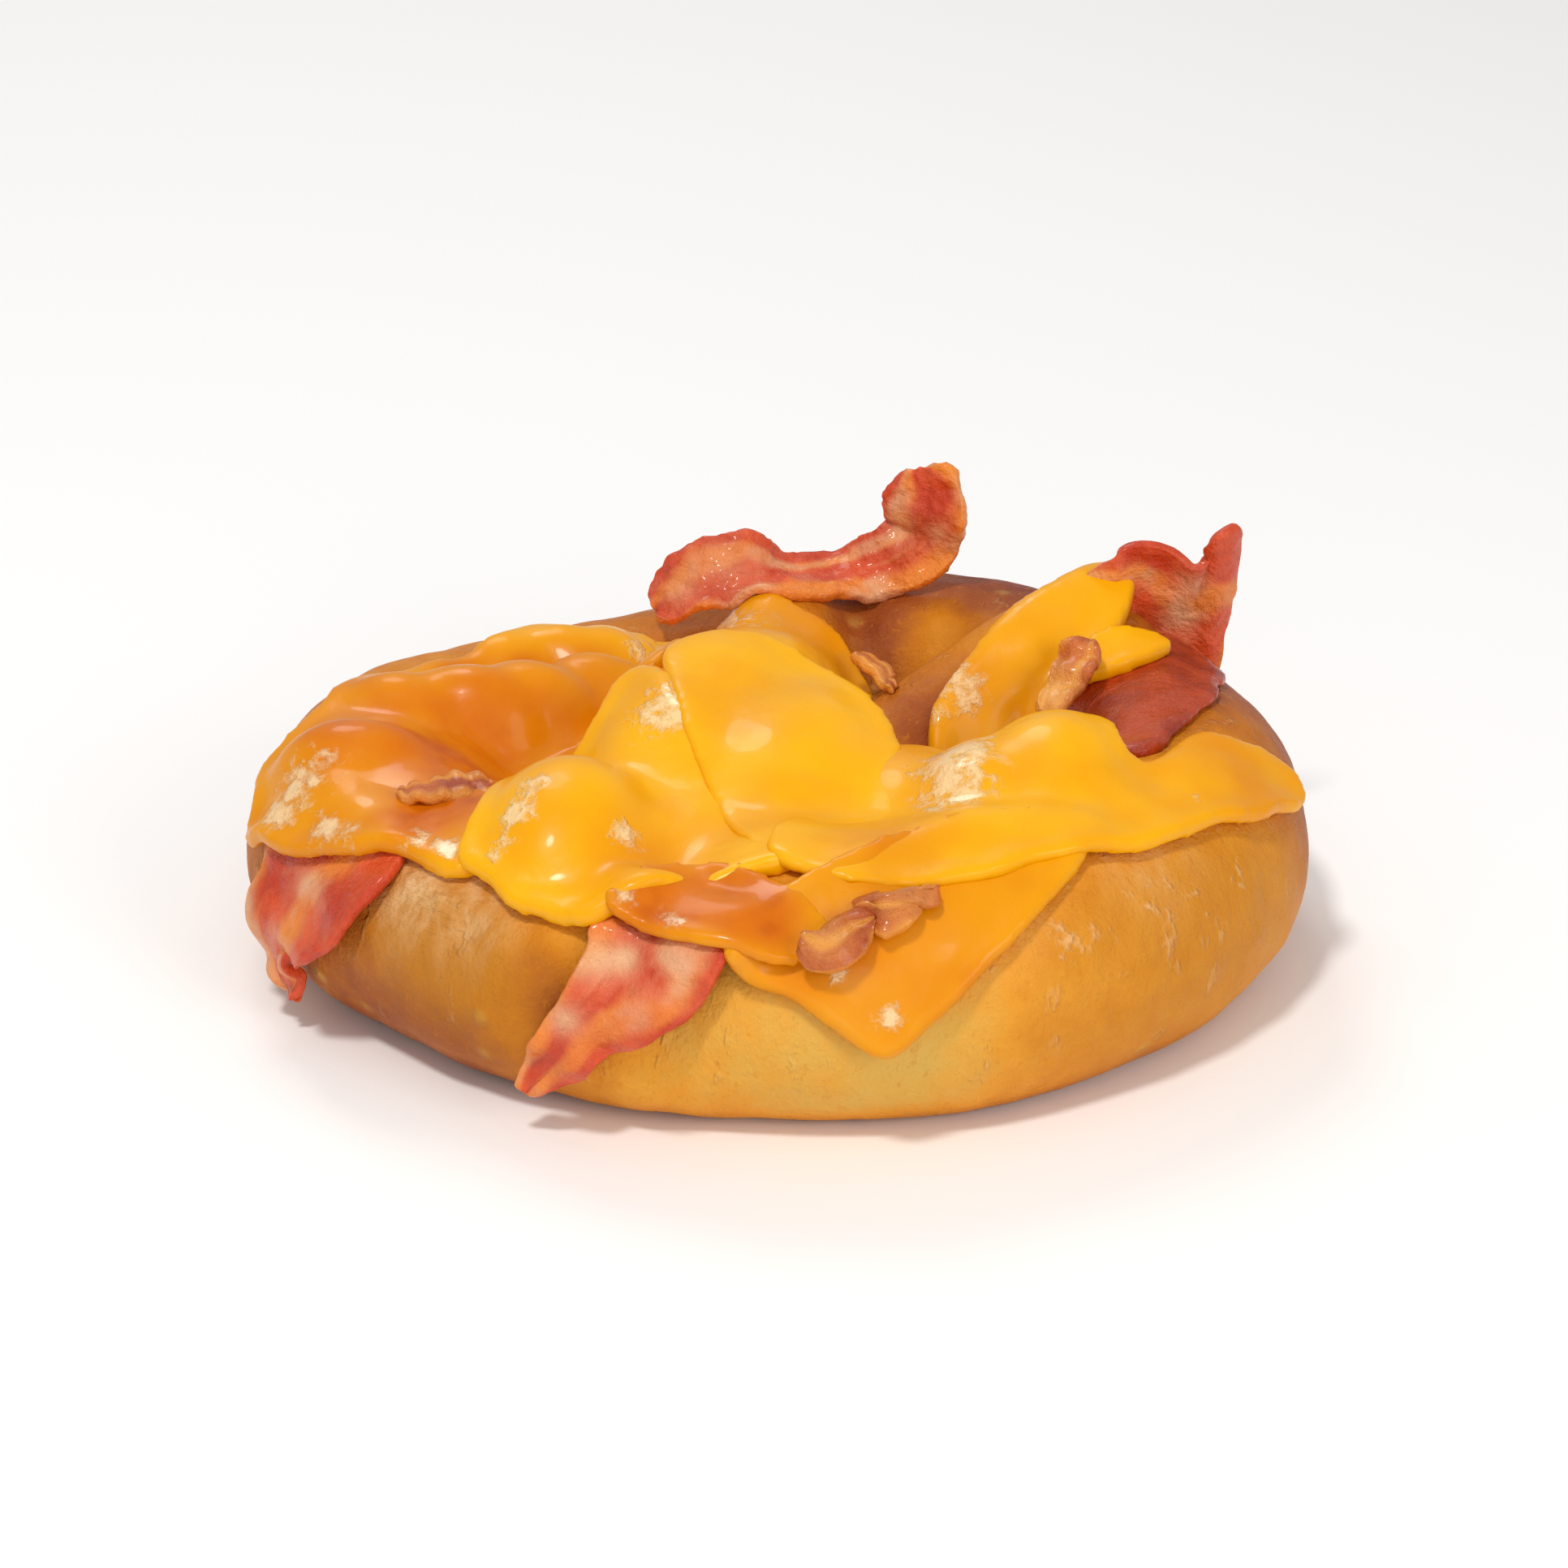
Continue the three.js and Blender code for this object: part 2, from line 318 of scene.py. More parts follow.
@dataclass(frozen=True)
class Crust:
    """The baked skin of the dough: tan where it is pale, amber, then red brown where it is dark. Its
    darkness and its golden tone also hold painted shade.
    """

    pale: Colour = (0.72, 0.43, 0.08, 1.0)
    tan: Colour = (0.80, 0.33, 0.022, 1.0)
    amber: Colour = (0.64, 0.205, 0.003, 1.0)
    brown: Colour = (0.38, 0.090, 0.010, 1.0)
    dark: Colour = (0.24, 0.036, 0.005, 1.0)
    # A darker olive gold, mixed in as painted shade on the walls under the cheese edges.
    golden_and_shade: Colour = (0.52, 0.185, 0.003, 1.0)
    dry: Colour = (0.90, 0.58, 0.28, 1.0)
    # sizes of its marks, in metres
    patch: float = 0.016
    mottle: float = 0.004
    freckle: float = 0.0011
    blister: float = 0.0052
    blistered: float = 0.019
    flake: float = 0.0042
    ridge: float = 0.0035
    grain: float = 0.0007
    dimple: float = 0.003
    wrinkle: float = 0.0016
    gloss: float = 0.006
    relief: float = 0.0005

    def material(self) -> bpy.types.Material:
        """Makes the material.

        Returns:
            The material, which reads the dough's baked, golden, crackled and floury places; the baked and
            golden ones also hold painted shade.
        """
        s = Shader("baked_crust")
        floury = s.attribute("floury")
        # Painted shade: the baked darkness is raised on the left walls and in the hole by the right arm.
        baked_and_shade = s.attribute("baked_and_shade") + (s.noise(self.patch, 3.0) - 0.5) * 0.34
        baked_and_shade = baked_and_shade + (s.noise(self.mottle, 3.0, 0.6) - 0.5) * 0.2
        browning = (
            (0.08, self.pale),
            (0.32, self.tan),
            (0.55, self.amber),
            (0.78, self.brown),
            (0.98, self.dark),
        )
        skin = s.add("ShaderNodeValToRGB", {"stops": browning}, {0: baked_and_shade}).outputs[0]
        freckle = s.noise(self.freckle, 2.0, 0.6).step(0.60, 0.72)
        colour = s.mix(freckle * 0.35, skin, self.amber)
        blister = s.cells(self.blister).step(0.34, 0.06)
        blister = blister * s.noise(self.blistered, 2.0, shift=3.0).step(0.5, 0.66)
        colour = s.mix(blister * 0.55, colour, self.pale)
        # Painted shade: the olive gold darkens the walls under the cheese edges.
        colour = s.mix(s.attribute("golden_and_shade") * 0.85, colour, self.golden_and_shade)
        flake = s.noise(self.flake, 3.0, 0.7, stretch=(1.0, 1.0, 0.5), shift=13.0).step(0.58, 0.72)
        colour = s.mix(flake * (0.12 + s.attribute("crackled") * 0.38), colour, self.dry)
        ridge = s.noise(self.ridge, 3.0, 0.6, stretch=(1.0, 1.0, 0.4)).step(0.34, 0.66)
        colour = s.mix(floury * (ridge * 0.7 + 0.2), colour, self.dry)
        grain = s.noise(self.grain, 4.0, 0.65) * 0.5
        grain = grain + s.noise(self.dimple, 3.0, 0.6, stretch=(1.0, 1.0, 0.55))
        wrinkle = s.noise(self.wrinkle, 3.0, 0.6, stretch=(0.45, 1.0, 2.2), shift=9.0) * floury
        height = grain * 1.3 + blister * 0.8 + wrinkle * 2.2 + flake * 0.7
        return s.finish(
            Base_Color=colour,
            Roughness=0.36 + s.noise(self.gloss, 3.0) * 0.26,
            Specular_IOR_Level=0.18,
            Coat_Weight=0.04,
            Coat_Roughness=0.25,
            Normal=s.bump(height, self.relief, 0.9),
        )


@dataclass(frozen=True)
class Cheese:
    """Melted cheese: a glossy orange yellow, with painted highlights as pale speckles on its oily places.
    """

    bright: Colour = (0.93, 0.45, 0.0, 1.0)
    deep: Colour = (0.66, 0.158, 0.0, 1.0)
    toasted: Colour = (0.42, 0.05, 0.001, 1.0)
    # The pale colour of the painted highlights.
    oil_highlight: Colour = (0.97, 0.74, 0.42, 1.0)
    # sizes of its marks, in metres
    cloud: float = 0.014
    scorch: float = 0.007
    fleck: float = 0.0026
    pit: float = 0.0012
    swell: float = 0.006
    rind: float = 0.0016
    gloss: float = 0.004
    pool: float = 0.009
    relief: float = 0.0006

    def material(self) -> bpy.types.Material:
        """Makes the material.

        Returns:
            The material, which reads a slice's thin and oily places: painted shade in some thin places,
            painted highlights in the oily ones.
        """
        s = Shader("melted_cheese")
        thin_and_shade, oily_highlit = s.attribute("thin_and_shade"), s.attribute("oily_highlit")
        cloud = s.noise(self.cloud, 2.0, shift=2.0).step(0.35, 0.72)
        # Thin places turn deeper orange; in the fold valleys this is painted shade.
        colour = s.mix(cloud * 0.30 + thin_and_shade * 0.75, self.bright, self.deep)
        scorch = thin_and_shade.step(0.8, 1.2) * s.noise(self.scorch, 3.0, shift=5.0).step(0.42, 0.8)
        colour = s.mix(scorch * 0.75, colour, self.toasted)
        # Painted highlights: pale speckles mixed into the colour of the oily places, which also get a
        # glossier coat.
        flecks = s.noise(self.fleck, 4.0, 0.7, shift=7.0) - 0.5
        oil_highlight = (oily_highlit * 0.9 + flecks * 2.6).step(0.35, 1.0) * oily_highlit.step(0.05, 0.45)
        colour = s.mix(oil_highlight * 0.68, colour, self.oil_highlight)
        pits = s.noise(self.pit, 3.0, 0.62) * oil_highlight
        height = s.noise(self.swell, 2.0) * 0.5
        height = height + s.noise(self.rind, 3.0, 0.6, shift=11.0) * 0.12 + pits * 1.2
        return s.finish(
            Base_Color=colour,
            Roughness=0.30 + s.noise(self.gloss, 2.0, shift=4.0) * 0.14,
            Specular_IOR_Level=0.16,
            Subsurface_Weight=0.10,
            Subsurface_Radius=(1.0, 0.35, 0.02),
            Subsurface_Scale=0.002,
            Coat_Weight=0.10 + oil_highlight * 0.7 + s.noise(self.pool, 2.0, shift=13.0).step(0.5, 0.7) * 0.25,
            Coat_Roughness=0.09,
            Normal=s.bump(height, self.relief, 0.8),
        )


@dataclass(frozen=True)
class Bacon:
    """Cooked bacon: red meat that runs softly into streaks of orange fat along the strip."""

    name: str = "cooked_bacon"
    striped: bool = True
    meat: Colour = (0.74, 0.095, 0.022, 1.0)
    dark: Colour = (0.54, 0.038, 0.006, 1.0)
    pink: Colour = (0.74, 0.19, 0.09, 1.0)
    fat: Colour = (0.90, 0.30, 0.03, 1.0)
    rind: Colour = (0.84, 0.50, 0.26, 1.0)
    # sizes of its marks, in metres
    muscle: float = 0.009
    wander: float = 0.014
    fat_patch: float = 0.009
    pink_patch: float = 0.006
    pale_patch: float = 0.007
    fibre: float = 0.0012
    sheet_fibre: float = 0.0014
    sheet_fold: float = 0.006
    gloss: float = 0.003
    relief: float = 0.0007
    streak: float = 0.22  # in units of the UV map, not in metres

    def material(self) -> bpy.types.Material:
        """Makes the material.

        Returns:
            The material. A striped one reads the strip's UV map and its fatty places.
        """
        s = Shader(self.name)
        meat = s.mix(s.noise(self.muscle, 4.0, 0.6, shift=1.0).step(0.32, 0.66), self.dark, self.meat)
        if self.striped:
            meat, streak = self._stripes(s, meat)
            grain = s.noise(self.fibre, 4.0, 0.65) + streak * 0.9
        else:
            grain = s.noise(self.sheet_fibre, 4.0, 0.65) + s.noise(self.sheet_fold, 3.0)
        return s.finish(
            Base_Color=meat,
            Roughness=0.24 + s.noise(self.gloss, 3.0, shift=3.0) * 0.26,
            Specular_IOR_Level=0.3,
            Subsurface_Weight=0.08,
            Subsurface_Radius=(1.0, 0.3, 0.15),
            Subsurface_Scale=0.0012,
            Coat_Weight=0.25,
            Coat_Roughness=0.12,
            Normal=s.bump(grain, self.relief, 0.9),
        )

    def _stripes(self, s: Shader, meat: bpy.types.NodeSocket) -> tuple[bpy.types.NodeSocket, Value]:
        """Runs bands and streaks of fat along the strip.

        Args:
            s: The shader.
            meat: The colour of the meat.

        Returns:
            The colour with the fat in it, and the fine streaks.
        """
        uv = s.add("ShaderNodeUVMap", {"uv_map": "strip"}, {}).outputs[0]
        across = Value(s, s.add("ShaderNodeSeparateXYZ", {}, {0: uv}).outputs[0])
        band = across + (s.noise(self.wander, 2.0, 0.5) - 0.5) * 0.9
        streak = s.noise(self.streak, 3.0, 0.6, stretch=(1.0, 0.2, 1.0), coords=uv)
        fat = band.step(0.30, 0.06) + band.step(0.52, 0.66) * band.step(0.88, 0.72) * 0.8
        fat = fat * (0.15 + s.noise(self.fat_patch, 2.0, shift=2.0) * 1.1) + streak.step(0.55, 0.75) * 0.3
        pink = s.noise(self.pink_patch, 3.0, 0.6, shift=6.0).step(0.50, 0.75)
        meat = s.mix(pink * 0.7, meat, self.pink)
        pale = s.mix(s.noise(self.pale_patch, 3.0, shift=8.0).step(0.45, 0.7), self.fat, self.rind)
        meat = s.mix(fat, meat, pale)
        return s.mix(s.attribute("fatty"), meat, self.rind), streak


class Cooked(Enum):
    """How bacon is cooked; the dark kind is darker partly as painted shade."""

    STREAKY = Bacon()
    # A darker copy of the bacon, without stripes, for the piece under the right slice; its darkness is
    # partly painted shade.
    DARK_SHADED = Bacon(
        name="shaded_dark_bacon", striped=False, meat=(0.50, 0.055, 0.008, 1.0), dark=(0.27, 0.018, 0.003, 1.0)
    )
    CRISP = Bacon(
        name="crisp_bacon",
        meat=(0.60, 0.13, 0.018, 1.0),
        dark=(0.34, 0.040, 0.005, 1.0),
        pink=(0.72, 0.24, 0.05, 1.0),
        fat=(0.86, 0.34, 0.03, 1.0),
        rind=(0.88, 0.42, 0.09, 1.0),
    )


# ---- mesh tools -----------------------------------------------------------------------------------


def new_object(name: str, bm: bmesh.types.BMesh) -> bpy.types.Object:
    """Makes an object of a bmesh and frees it.

    Args:
        name: The object's name.
        bm: Its mesh.

    Returns:
        The object, smooth shaded and in the scene.
    """
    mesh = bpy.data.meshes.new(name)
    bm.to_mesh(mesh)
    bm.free()
    mesh.shade_smooth()
    thing = bpy.data.objects.new(name, mesh)
    bpy.context.collection.objects.link(thing)
    return thing


def apply_modifiers(thing: bpy.types.Object) -> None:
    """Replaces an object's mesh by what its modifiers make of it, and removes them.

    Args:
        thing: The object.
    """
    shape = thing.evaluated_get(bpy.context.evaluated_depsgraph_get())
    mesh = bpy.data.meshes.new_from_object(shape)
    thing.modifiers.clear()
    thing.data = mesh
    mesh.shade_smooth()


def relax(mesh: bpy.types.Mesh, rounds: int, factor: float = SMOOTHED) -> None:
    """Smooths a mesh's points.

    Args:
        mesh: The mesh.
        rounds: How many times.
        factor: How far a point moves towards its neighbours each time.
    """
    bm = bmesh.new()
    bm.from_mesh(mesh)
    for _ in range(rounds):
        bmesh.ops.smooth_vert(
            bm, verts=bm.verts, factor=factor, use_axis_x=True, use_axis_y=True, use_axis_z=True
        )
    bm.to_mesh(mesh)
    bm.free()


def remesh(thing: bpy.types.Object, voxel: float, rounds: int) -> None:
    """Fuses a closed mesh into even faces and relaxes it.

    Args:
        thing: The object.
        voxel: The size of the faces, in metres.
        rounds: How many times the points are smoothed.
    """
    modifier = thing.modifiers.new("fuse", "REMESH")
    modifier.mode = "VOXEL"
    modifier.voxel_size = voxel
    apply_modifiers(thing)
    relax(thing.data, rounds)
    thing.data.shade_smooth()


def bvh_of(thing: bpy.types.Object) -> BVHTree:
    """Makes a search tree of an object's mesh.

    Args:
        thing: The object.

    Returns:
        The tree.
    """
    bm = bmesh.new()
    bm.from_mesh(thing.data)
    tree = BVHTree.FromBMesh(bm)
    bm.free()
    return tree


def spline(a: Vector, b: Vector, c: Vector, d: Vector, t: float) -> Vector:
    """Gives a point between the second and third of four points on a smooth curve.

    Args:
        a: The first point.
        b: The second.
        c: The third.
        d: The fourth.
        t: From 0 at the second to 1 at the third.

    Returns:
        The point.
    """
    bend = (2 * a - 5 * b + 4 * c - d) * t * t + (3 * b - a - 3 * c + d) * t * t * t
    return 0.5 * (2 * b + (c - a) * t + bend)


def smooth_loop(points: Sequence[Vector], steps: int) -> list[Vector]:
    """Draws a smooth closed loop through points.

    Args:
        points: The points, in order.
        steps: How many pieces each gap is cut into.

    Returns:
        Points on the loop.
    """
    loop = []
    count = len(points)
    for i in range(count):
        four = [points[(i + k - 1) % count] for k in range(4)]
        loop += [spline(*four, step / steps) for step in range(steps)]
    return loop


def along_curve(points: Sequence[Vector], t: float) -> Vector:
    """Gives a point on the smooth open curve through points.

    Args:
        points: The points, in order.
        t: From 0 at the first to 1 at the last.

    Returns:
        The point.
    """
    last = len(points) - 1
    at = min(max(t, 0.0), 1.0) * last
    i = min(int(at), last - 1)
    four = [points[min(max(i + k - 1, 0), last)] for k in range(4)]
    return spline(*four, at - i)


def store(mesh: bpy.types.Mesh, name: str, values: Sequence[float]) -> None:
    """Stores a number for each point of a mesh.

    Args:
        mesh: The mesh.
        name: The attribute's name.
        values: One number per point.
    """
    attribute = mesh.attributes.new(name, "FLOAT", "POINT")
    attribute.data.foreach_set("value", np.asarray(values, dtype=np.float32))


def points_of(mesh: bpy.types.Mesh) -> np.ndarray:
    """Gives a mesh's points.

    Args:
        mesh: The mesh.

    Returns:
        Rows of mm, measured from the middle of the twist.
    """
    flat = np.empty(len(mesh.vertices) * 3, dtype=np.float32)
    mesh.vertices.foreach_get("co", flat)
    return flat.reshape(-1, 3) / MM - np.array(TWIST)


def push_out(mesh: bpy.types.Mesh, amount: np.ndarray) -> None:
    """Moves each point of a mesh along its normal, but never below the surface it stands on.

    Args:
        mesh: The mesh.
        amount: How far each point moves, in mm.
    """
    count = len(mesh.vertices)
    normals, flat = np.empty(count * 3, dtype=np.float32), np.empty(count * 3, dtype=np.float32)
    mesh.vertex_normals.foreach_get("vector", normals)
    mesh.vertices.foreach_get("co", flat)
    moved = flat.reshape(-1, 3) + normals.reshape(-1, 3) * amount[:, None] * MM
    moved[:, 2] = np.maximum(moved[:, 2], 0.0)
    mesh.vertices.foreach_set("co", moved.astype(np.float32).ravel())
    mesh.update()


@dataclass(frozen=True)
class Spot:
    """A soft round patch on a piece."""

    x: float
    y: float
    z: float
    radius: float
    amount: float

    def weight(self, points: np.ndarray) -> np.ndarray:
        """Gives the patch's amount at each point."""
        away = np.linalg.norm(points - np.array((self.x, self.y, self.z)), axis=1)
        return self.amount * np.exp(-((away / self.radius) ** 2))


def spots(*rows: tuple[float, float, float, float, float]) -> tuple[Spot, ...]:
    """Makes soft patches of rows that hold x, y, z, the radius and the amount."""
    return tuple(Spot(*row) for row in rows)


def patches(marks: Sequence[Spot], points: np.ndarray, most: float = math.inf) -> np.ndarray:
    """Adds up soft patches.

    Args:
        marks: The patches.
        points: Rows of mm.
        most: Where this is given, the sums are kept between 0 and it.

    Returns:
        The sum at each point.
    """
    total = sum((mark.weight(points) for mark in marks), np.zeros(len(points)))
    return total if math.isinf(most) else np.clip(total, 0.0, most)


# ---- pieces ---------------------------------------------------------------------------------------


@dataclass(frozen=True)
class Dough:
    """The baked pretzel: one rope of dough, twisted and fused."""

    voxel: float = 0.00085  # in metres
    relaxing: int = 34
    weld: float = 1e-6  # in metres
    evenly: float = 0.36  # how dark it is baked all over, from 0 to 1
    low_darkening: float = 0.30  # how much darker it is towards the bottom, in the lowest few mm
    low_darkening_height: float = 5.0
    low_darkening_fade: float = 6.0
    # sizes and heights of the unevenness of its skin
    hump: float = 14.0
    hump_height: float = 0.55
    lump: float = 6.0
    lump_height: float = 0.22
    crease: float = 2.2
    crease_height: float = 0.045
    # Spots that make the crust darker or paler. Those on the left walls, at x -58 to -64, and the one in
    # the hole by the right arm, at (21, 4, 22), are painted shade.
    baked_and_shade: Sequence[Spot] = spots(
        (-58, -30, 12, 17, 0.34), (-64, -5, 14, 16, 0.34), (-60, 15, 12, 18, 0.30),
        (-12, -66, 17, 6, 0.42), (-36, -50, 20, 10, 0.10), (-26, -62, 4, 12, 0.28),
        (10, -66, 16, 20, -0.20), (30, -62, 12, 13, -0.18), (52, -45, 14, 20, 0.10),
        (70, 0, 20, 15, 0.32), (58, 22, 22, 17, 0.46), (45, 8, 33, 12, 0.44), (30, 40, 28, 20, 0.40),
        (5, 44, 26, 22, 0.38), (0, 58, 12, 22, 0.30), (-30, 36, 20, 18, 0.30), (45, 40, 12, 20, 0.30),
        (21, 4, 22, 12, 0.62), (10, 27, 28, 8, 0.25), (14, 27, 30, 6, -0.45), (-30, -56, 14, 14, 0.24),
        (-45, -48, 8, 12, 0.28), (-17, -61, 20, 4, 0.30),
    )
    floury: Sequence[Spot] = spots(
        (-33, -51, 26, 8, 0.95), (-24, -57, 23, 5, 0.35), (36, -48, 28, 6, 0.3), (50, -32, 27, 7, 0.35),
    )
    crackled: Sequence[Spot] = spots(
        (50, -44, 26, 9, 1.0), (60, -30, 26, 9, 1.0), (40, -52, 22, 7, 0.8), (66, -18, 22, 8, 0.8),
    )
    # Painted shade in an olive gold tone, on the walls under the front left lobe and under the right
    # slice.
    golden_and_shade: Sequence[Spot] = spots(
        (-34, -54, 20, 9, 1.1), (-24, -59, 18, 8, 1.0), (56, -38, 18, 16, 0.6), (66, -20, 18, 14, 0.5),
    )
    lumps: Sequence[Spot] = spots(
        (-33, -52, 26, 6, 0.5), (-12, -67, 16, 3, -0.8), (-15, -60, 24, 3, 0.5), (-3, -63, 8, 6, 2.6),
        (-2, -60, 2, 7, 2.4), (-1, 19, 38, 11, -6.0), (-27, -57, 22, 2.5, -0.7),
        (-21, -60, 22, 2.5, 0.7),
    )

    def build(self, node: bpy.types.Object) -> bpy.types.Object:
        """Makes the dough.

        Args:
            node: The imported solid.

        Returns:
            The piece.
        """
        bm = bmesh.new()
        bm.from_mesh(node.data)
        bmesh.ops.remove_doubles(bm, verts=bm.verts, dist=self.weld)
        piece = new_object("dough", bm)
        remesh(piece, self.voxel, self.relaxing)
        self._swell(piece.data)
        self._bake(piece.data)
        piece.data.materials.append(Crust().material())
        return piece

    def _swell(self, mesh: bpy.types.Mesh) -> None:
        """Gives the skin the slight lumps and creases of proved dough.

        Args:
            mesh: The relaxed dough.
        """
        points = points_of(mesh)
        swell = []
        for point in points:
            co = Vector(point)
            hump = noise.noise(co / self.hump) * self.hump_height
            lump = noise.noise(co / self.lump + UP * 7) * self.lump_height
            crease = noise.fractal(co / self.crease, 0.7, 2.0, 3) * self.crease_height
            swell.append(hump + lump + crease)
        push_out(mesh, np.array(swell) + patches(self.lumps, points))

    def _bake(self, mesh: bpy.types.Mesh) -> None:
        """Stores how dark each place is baked, with painted shade in it, and where it is golden (partly
        painted shade), crackled or floury.

        Args:
            mesh: The finished shape of the dough.
        """
        points = points_of(mesh)
        low = np.clip((self.low_darkening_height - points[:, 2]) / self.low_darkening_fade, 0.0, 1.0)
        store(mesh, "baked_and_shade", self.evenly + self.low_darkening * low + patches(self.baked_and_shade, points))
        store(mesh, "floury", patches(self.floury, points, 1.0))
        store(mesh, "golden_and_shade", patches(self.golden_and_shade, points, 1.0))
        store(mesh, "crackled", patches(self.crackled, points, 1.0))


class Below:
    """What lies under the next slice: the dough and every piece laid so far."""

    def __init__(self) -> None:
        """Starts with nothing."""
        self.trees: list[tuple[BVHTree, float]] = []

    def add(self, thing: bpy.types.Object, sink: float = 0.0) -> None:
        """Adds a finished piece.

        Args:
            thing: The piece.
            sink: How far a slice melts into it.
        """
        self.trees.append((bvh_of(thing), sink * MM))

    def fall(self, start: Vector, towards: Vector, humps: Sequence[BVHTree]) -> Optional[float]:
        """Finds how far a point falls before it lands.

        Args:
            start: A point above everything, in metres.
            towards: The direction in which a slice melts down.
            humps: More trees to land on.

        Returns:
            The distance in metres, or None where nothing is below.
        """
        least = None
        for tree, sink in (*self.trees, *((hump, 0.0) for hump in humps)):
            away = tree.ray_cast(start, towards)[3]
            if away is not None and (least is None or away + sink < least):
                least = away + sink
        return least


@dataclass(frozen=True)
class Slice:
    """A slice of cheese, melted over what lies under it."""

    node: str
    outline: Sequence[Sequence[float]]  # x and y, and z where it doesn't melt straight down
    name: str = ""
    thickness: float = 1.9
    lip: float = 0.5  # how much thicker the rim is
    melts: Point = (0.0, 0.0, -1.0)  # the direction in which it sinks
    tension: int = 14  # rounds of pulling it taut
    humps: Sequence[tuple[Point, Point]] = ()  # centres and radii of what holds it up over a hole
    bulges: Sequence[Spot] = ()
    # Where the cheese is thin, deeper orange and browned; some spots paint shade in fold valleys.
    thin_and_shade: Sequence[Spot] = ()
    # Where painted highlights speckle the oily cheese.
    oily_highlit: Sequence[Spot] = ()
    ripple: float = 0.25
    wave: float = 1.2  # how unevenly it is cut
    grid: float = 0.9
    voxel: float = 0.00062  # in metres
    seed: float = 0.0
    above: float = 0.2  # the height in metres from which it is laid
    overhang: float = 1.2  # how steeply it hangs where nothing is below
    thinnest: float = 0.7
    bedded: float = 0.25  # how deep its underside sits in what is below
    lip_inset: float = 1.4
    lip_width: float = 1.5
    cut: float = 7.0  # the size of the unevenness of its cut
    swell: float = 9.0  # the size of its broad ripples
    pucker: float = 4.0  # the size of its small ripples
    steps: int = 14  # how many pieces each gap of the outline is cut into
    easing: int = 3  # rounds of easing after it is taut
    smoothing: int = 5  # rounds of smoothing after it is fused

    def build(self, below: Below, material: bpy.types.Material) -> bpy.types.Object:
        """Lays the slice.

        Args:
            below: What it lands on.
            material: Its finish.

        Returns:
            The piece.
        """
        towards = Vector(self.melts).normalized()
        side = towards.cross(UP) if abs(towards.z) < 0.99 else Vector((1.0, 0.0, 0.0))
        side.normalize()
        axes = Matrix((side, (-towards).cross(side), -towards))
        back = axes.transposed()
        bm = self._blank(axes)
        heights = self._taut(bm, self._floor(bm, axes, below))
        for vertex, height in zip(bm.verts, heights):
            vertex.co = back @ Vector((vertex.co.x, vertex.co.y, height))
        bm.normal_update()
        self._thicken(bm)
        piece = new_object(self.name or self.node.replace("cheese_slice", "cheese"), bm)
        remesh(piece, self.voxel, self.smoothing)
        points = points_of(piece.data)
        store(piece.data, "thin_and_shade", patches(self.thin_and_shade, points, 1.3))
        store(piece.data, "oily_highlit", patches(self.oily_highlit, points, 1.0))
        piece.data.materials.append(material)
        return piece

    def _blank(self, axes: Matrix) -> bmesh.types.BMesh:
        """Cuts the flat slice out of a grid, seen along the direction in which it melts.

        Args:
            axes: Rows: across, along and against that direction.

        Returns:
            The flat slice, in those axes.
        """
        loop = [(axes @ place(*point)).to_2d() for point in self._wavy_outline()]
        low = Vector((min(p.x for p in loop), min(p.y for p in loop)))
        high = Vector((max(p.x for p in loop), max(p.y for p in loop)))
        size = high - low
        step = self.grid * MM
        bm = bmesh.new()
        bmesh.ops.create_grid(
            bm, x_segments=int(size.x / step) + 2, y_segments=int(size.y / step) + 2, size=0.5
        )
        bmesh.ops.scale(bm, vec=(size.x + step, size.y + step, 1.0), verts=bm.verts)
        bmesh.ops.translate(bm, vec=((low + high) / 2).to_3d(), verts=bm.verts)
        outside = [v for v in bm.verts if not self._inside(v.co, loop)]
        bmesh.ops.delete(bm, geom=outside, context="VERTS")
        stray = [v for v in bm.verts if not v.link_faces]
        bmesh.ops.delete(bm, geom=stray, context="VERTS")
        edge = KDTree(len(loop))
        for i, point in enumerate(loop):
            edge.insert(point.to_3d(), i)
        edge.balance()
        for vertex in bm.verts:
            if vertex.is_boundary:
                vertex.co = edge.find(vertex.co)[0]
        bm.verts.index_update()
        return bm

    def _wavy_outline(self) -> list[Point]:
        """Makes the outline smooth and a little uneven.

        Returns:
            Its points.
        """
        loop = smooth_loop([Vector((*point, 0.0)[:3]) for point in self.outline], self.steps)
        wavy = []
        for i, point in enumerate(loop):
            ahead = loop[(i + 1) % len(loop)] - loop[i - 1]
            out = ahead.cross(UP).normalized()
            wander = noise.noise(point / self.cut + Vector((self.seed, 0, 0))) * self.wave
            wavy.append(tuple(point + out * wander))
        return wavy

    @staticmethod
    def _inside(point: Vector, loop: Sequence[Vector]) -> bool:
        """Tells whether a point is inside a flat loop.

        Args:
            point: The point.
            loop: The loop's points, in order.

        Returns:
            True when it is inside.
        """
        inside = False
        for i, b in enumerate(loop):
            a = loop[i - 1]
            if (a.y > point.y) != (b.y > point.y):
                crossing = a.x + (b.x - a.x) * (point.y - a.y) / (b.y - a.y)
                inside = inside != (point.x < crossing)
        return inside

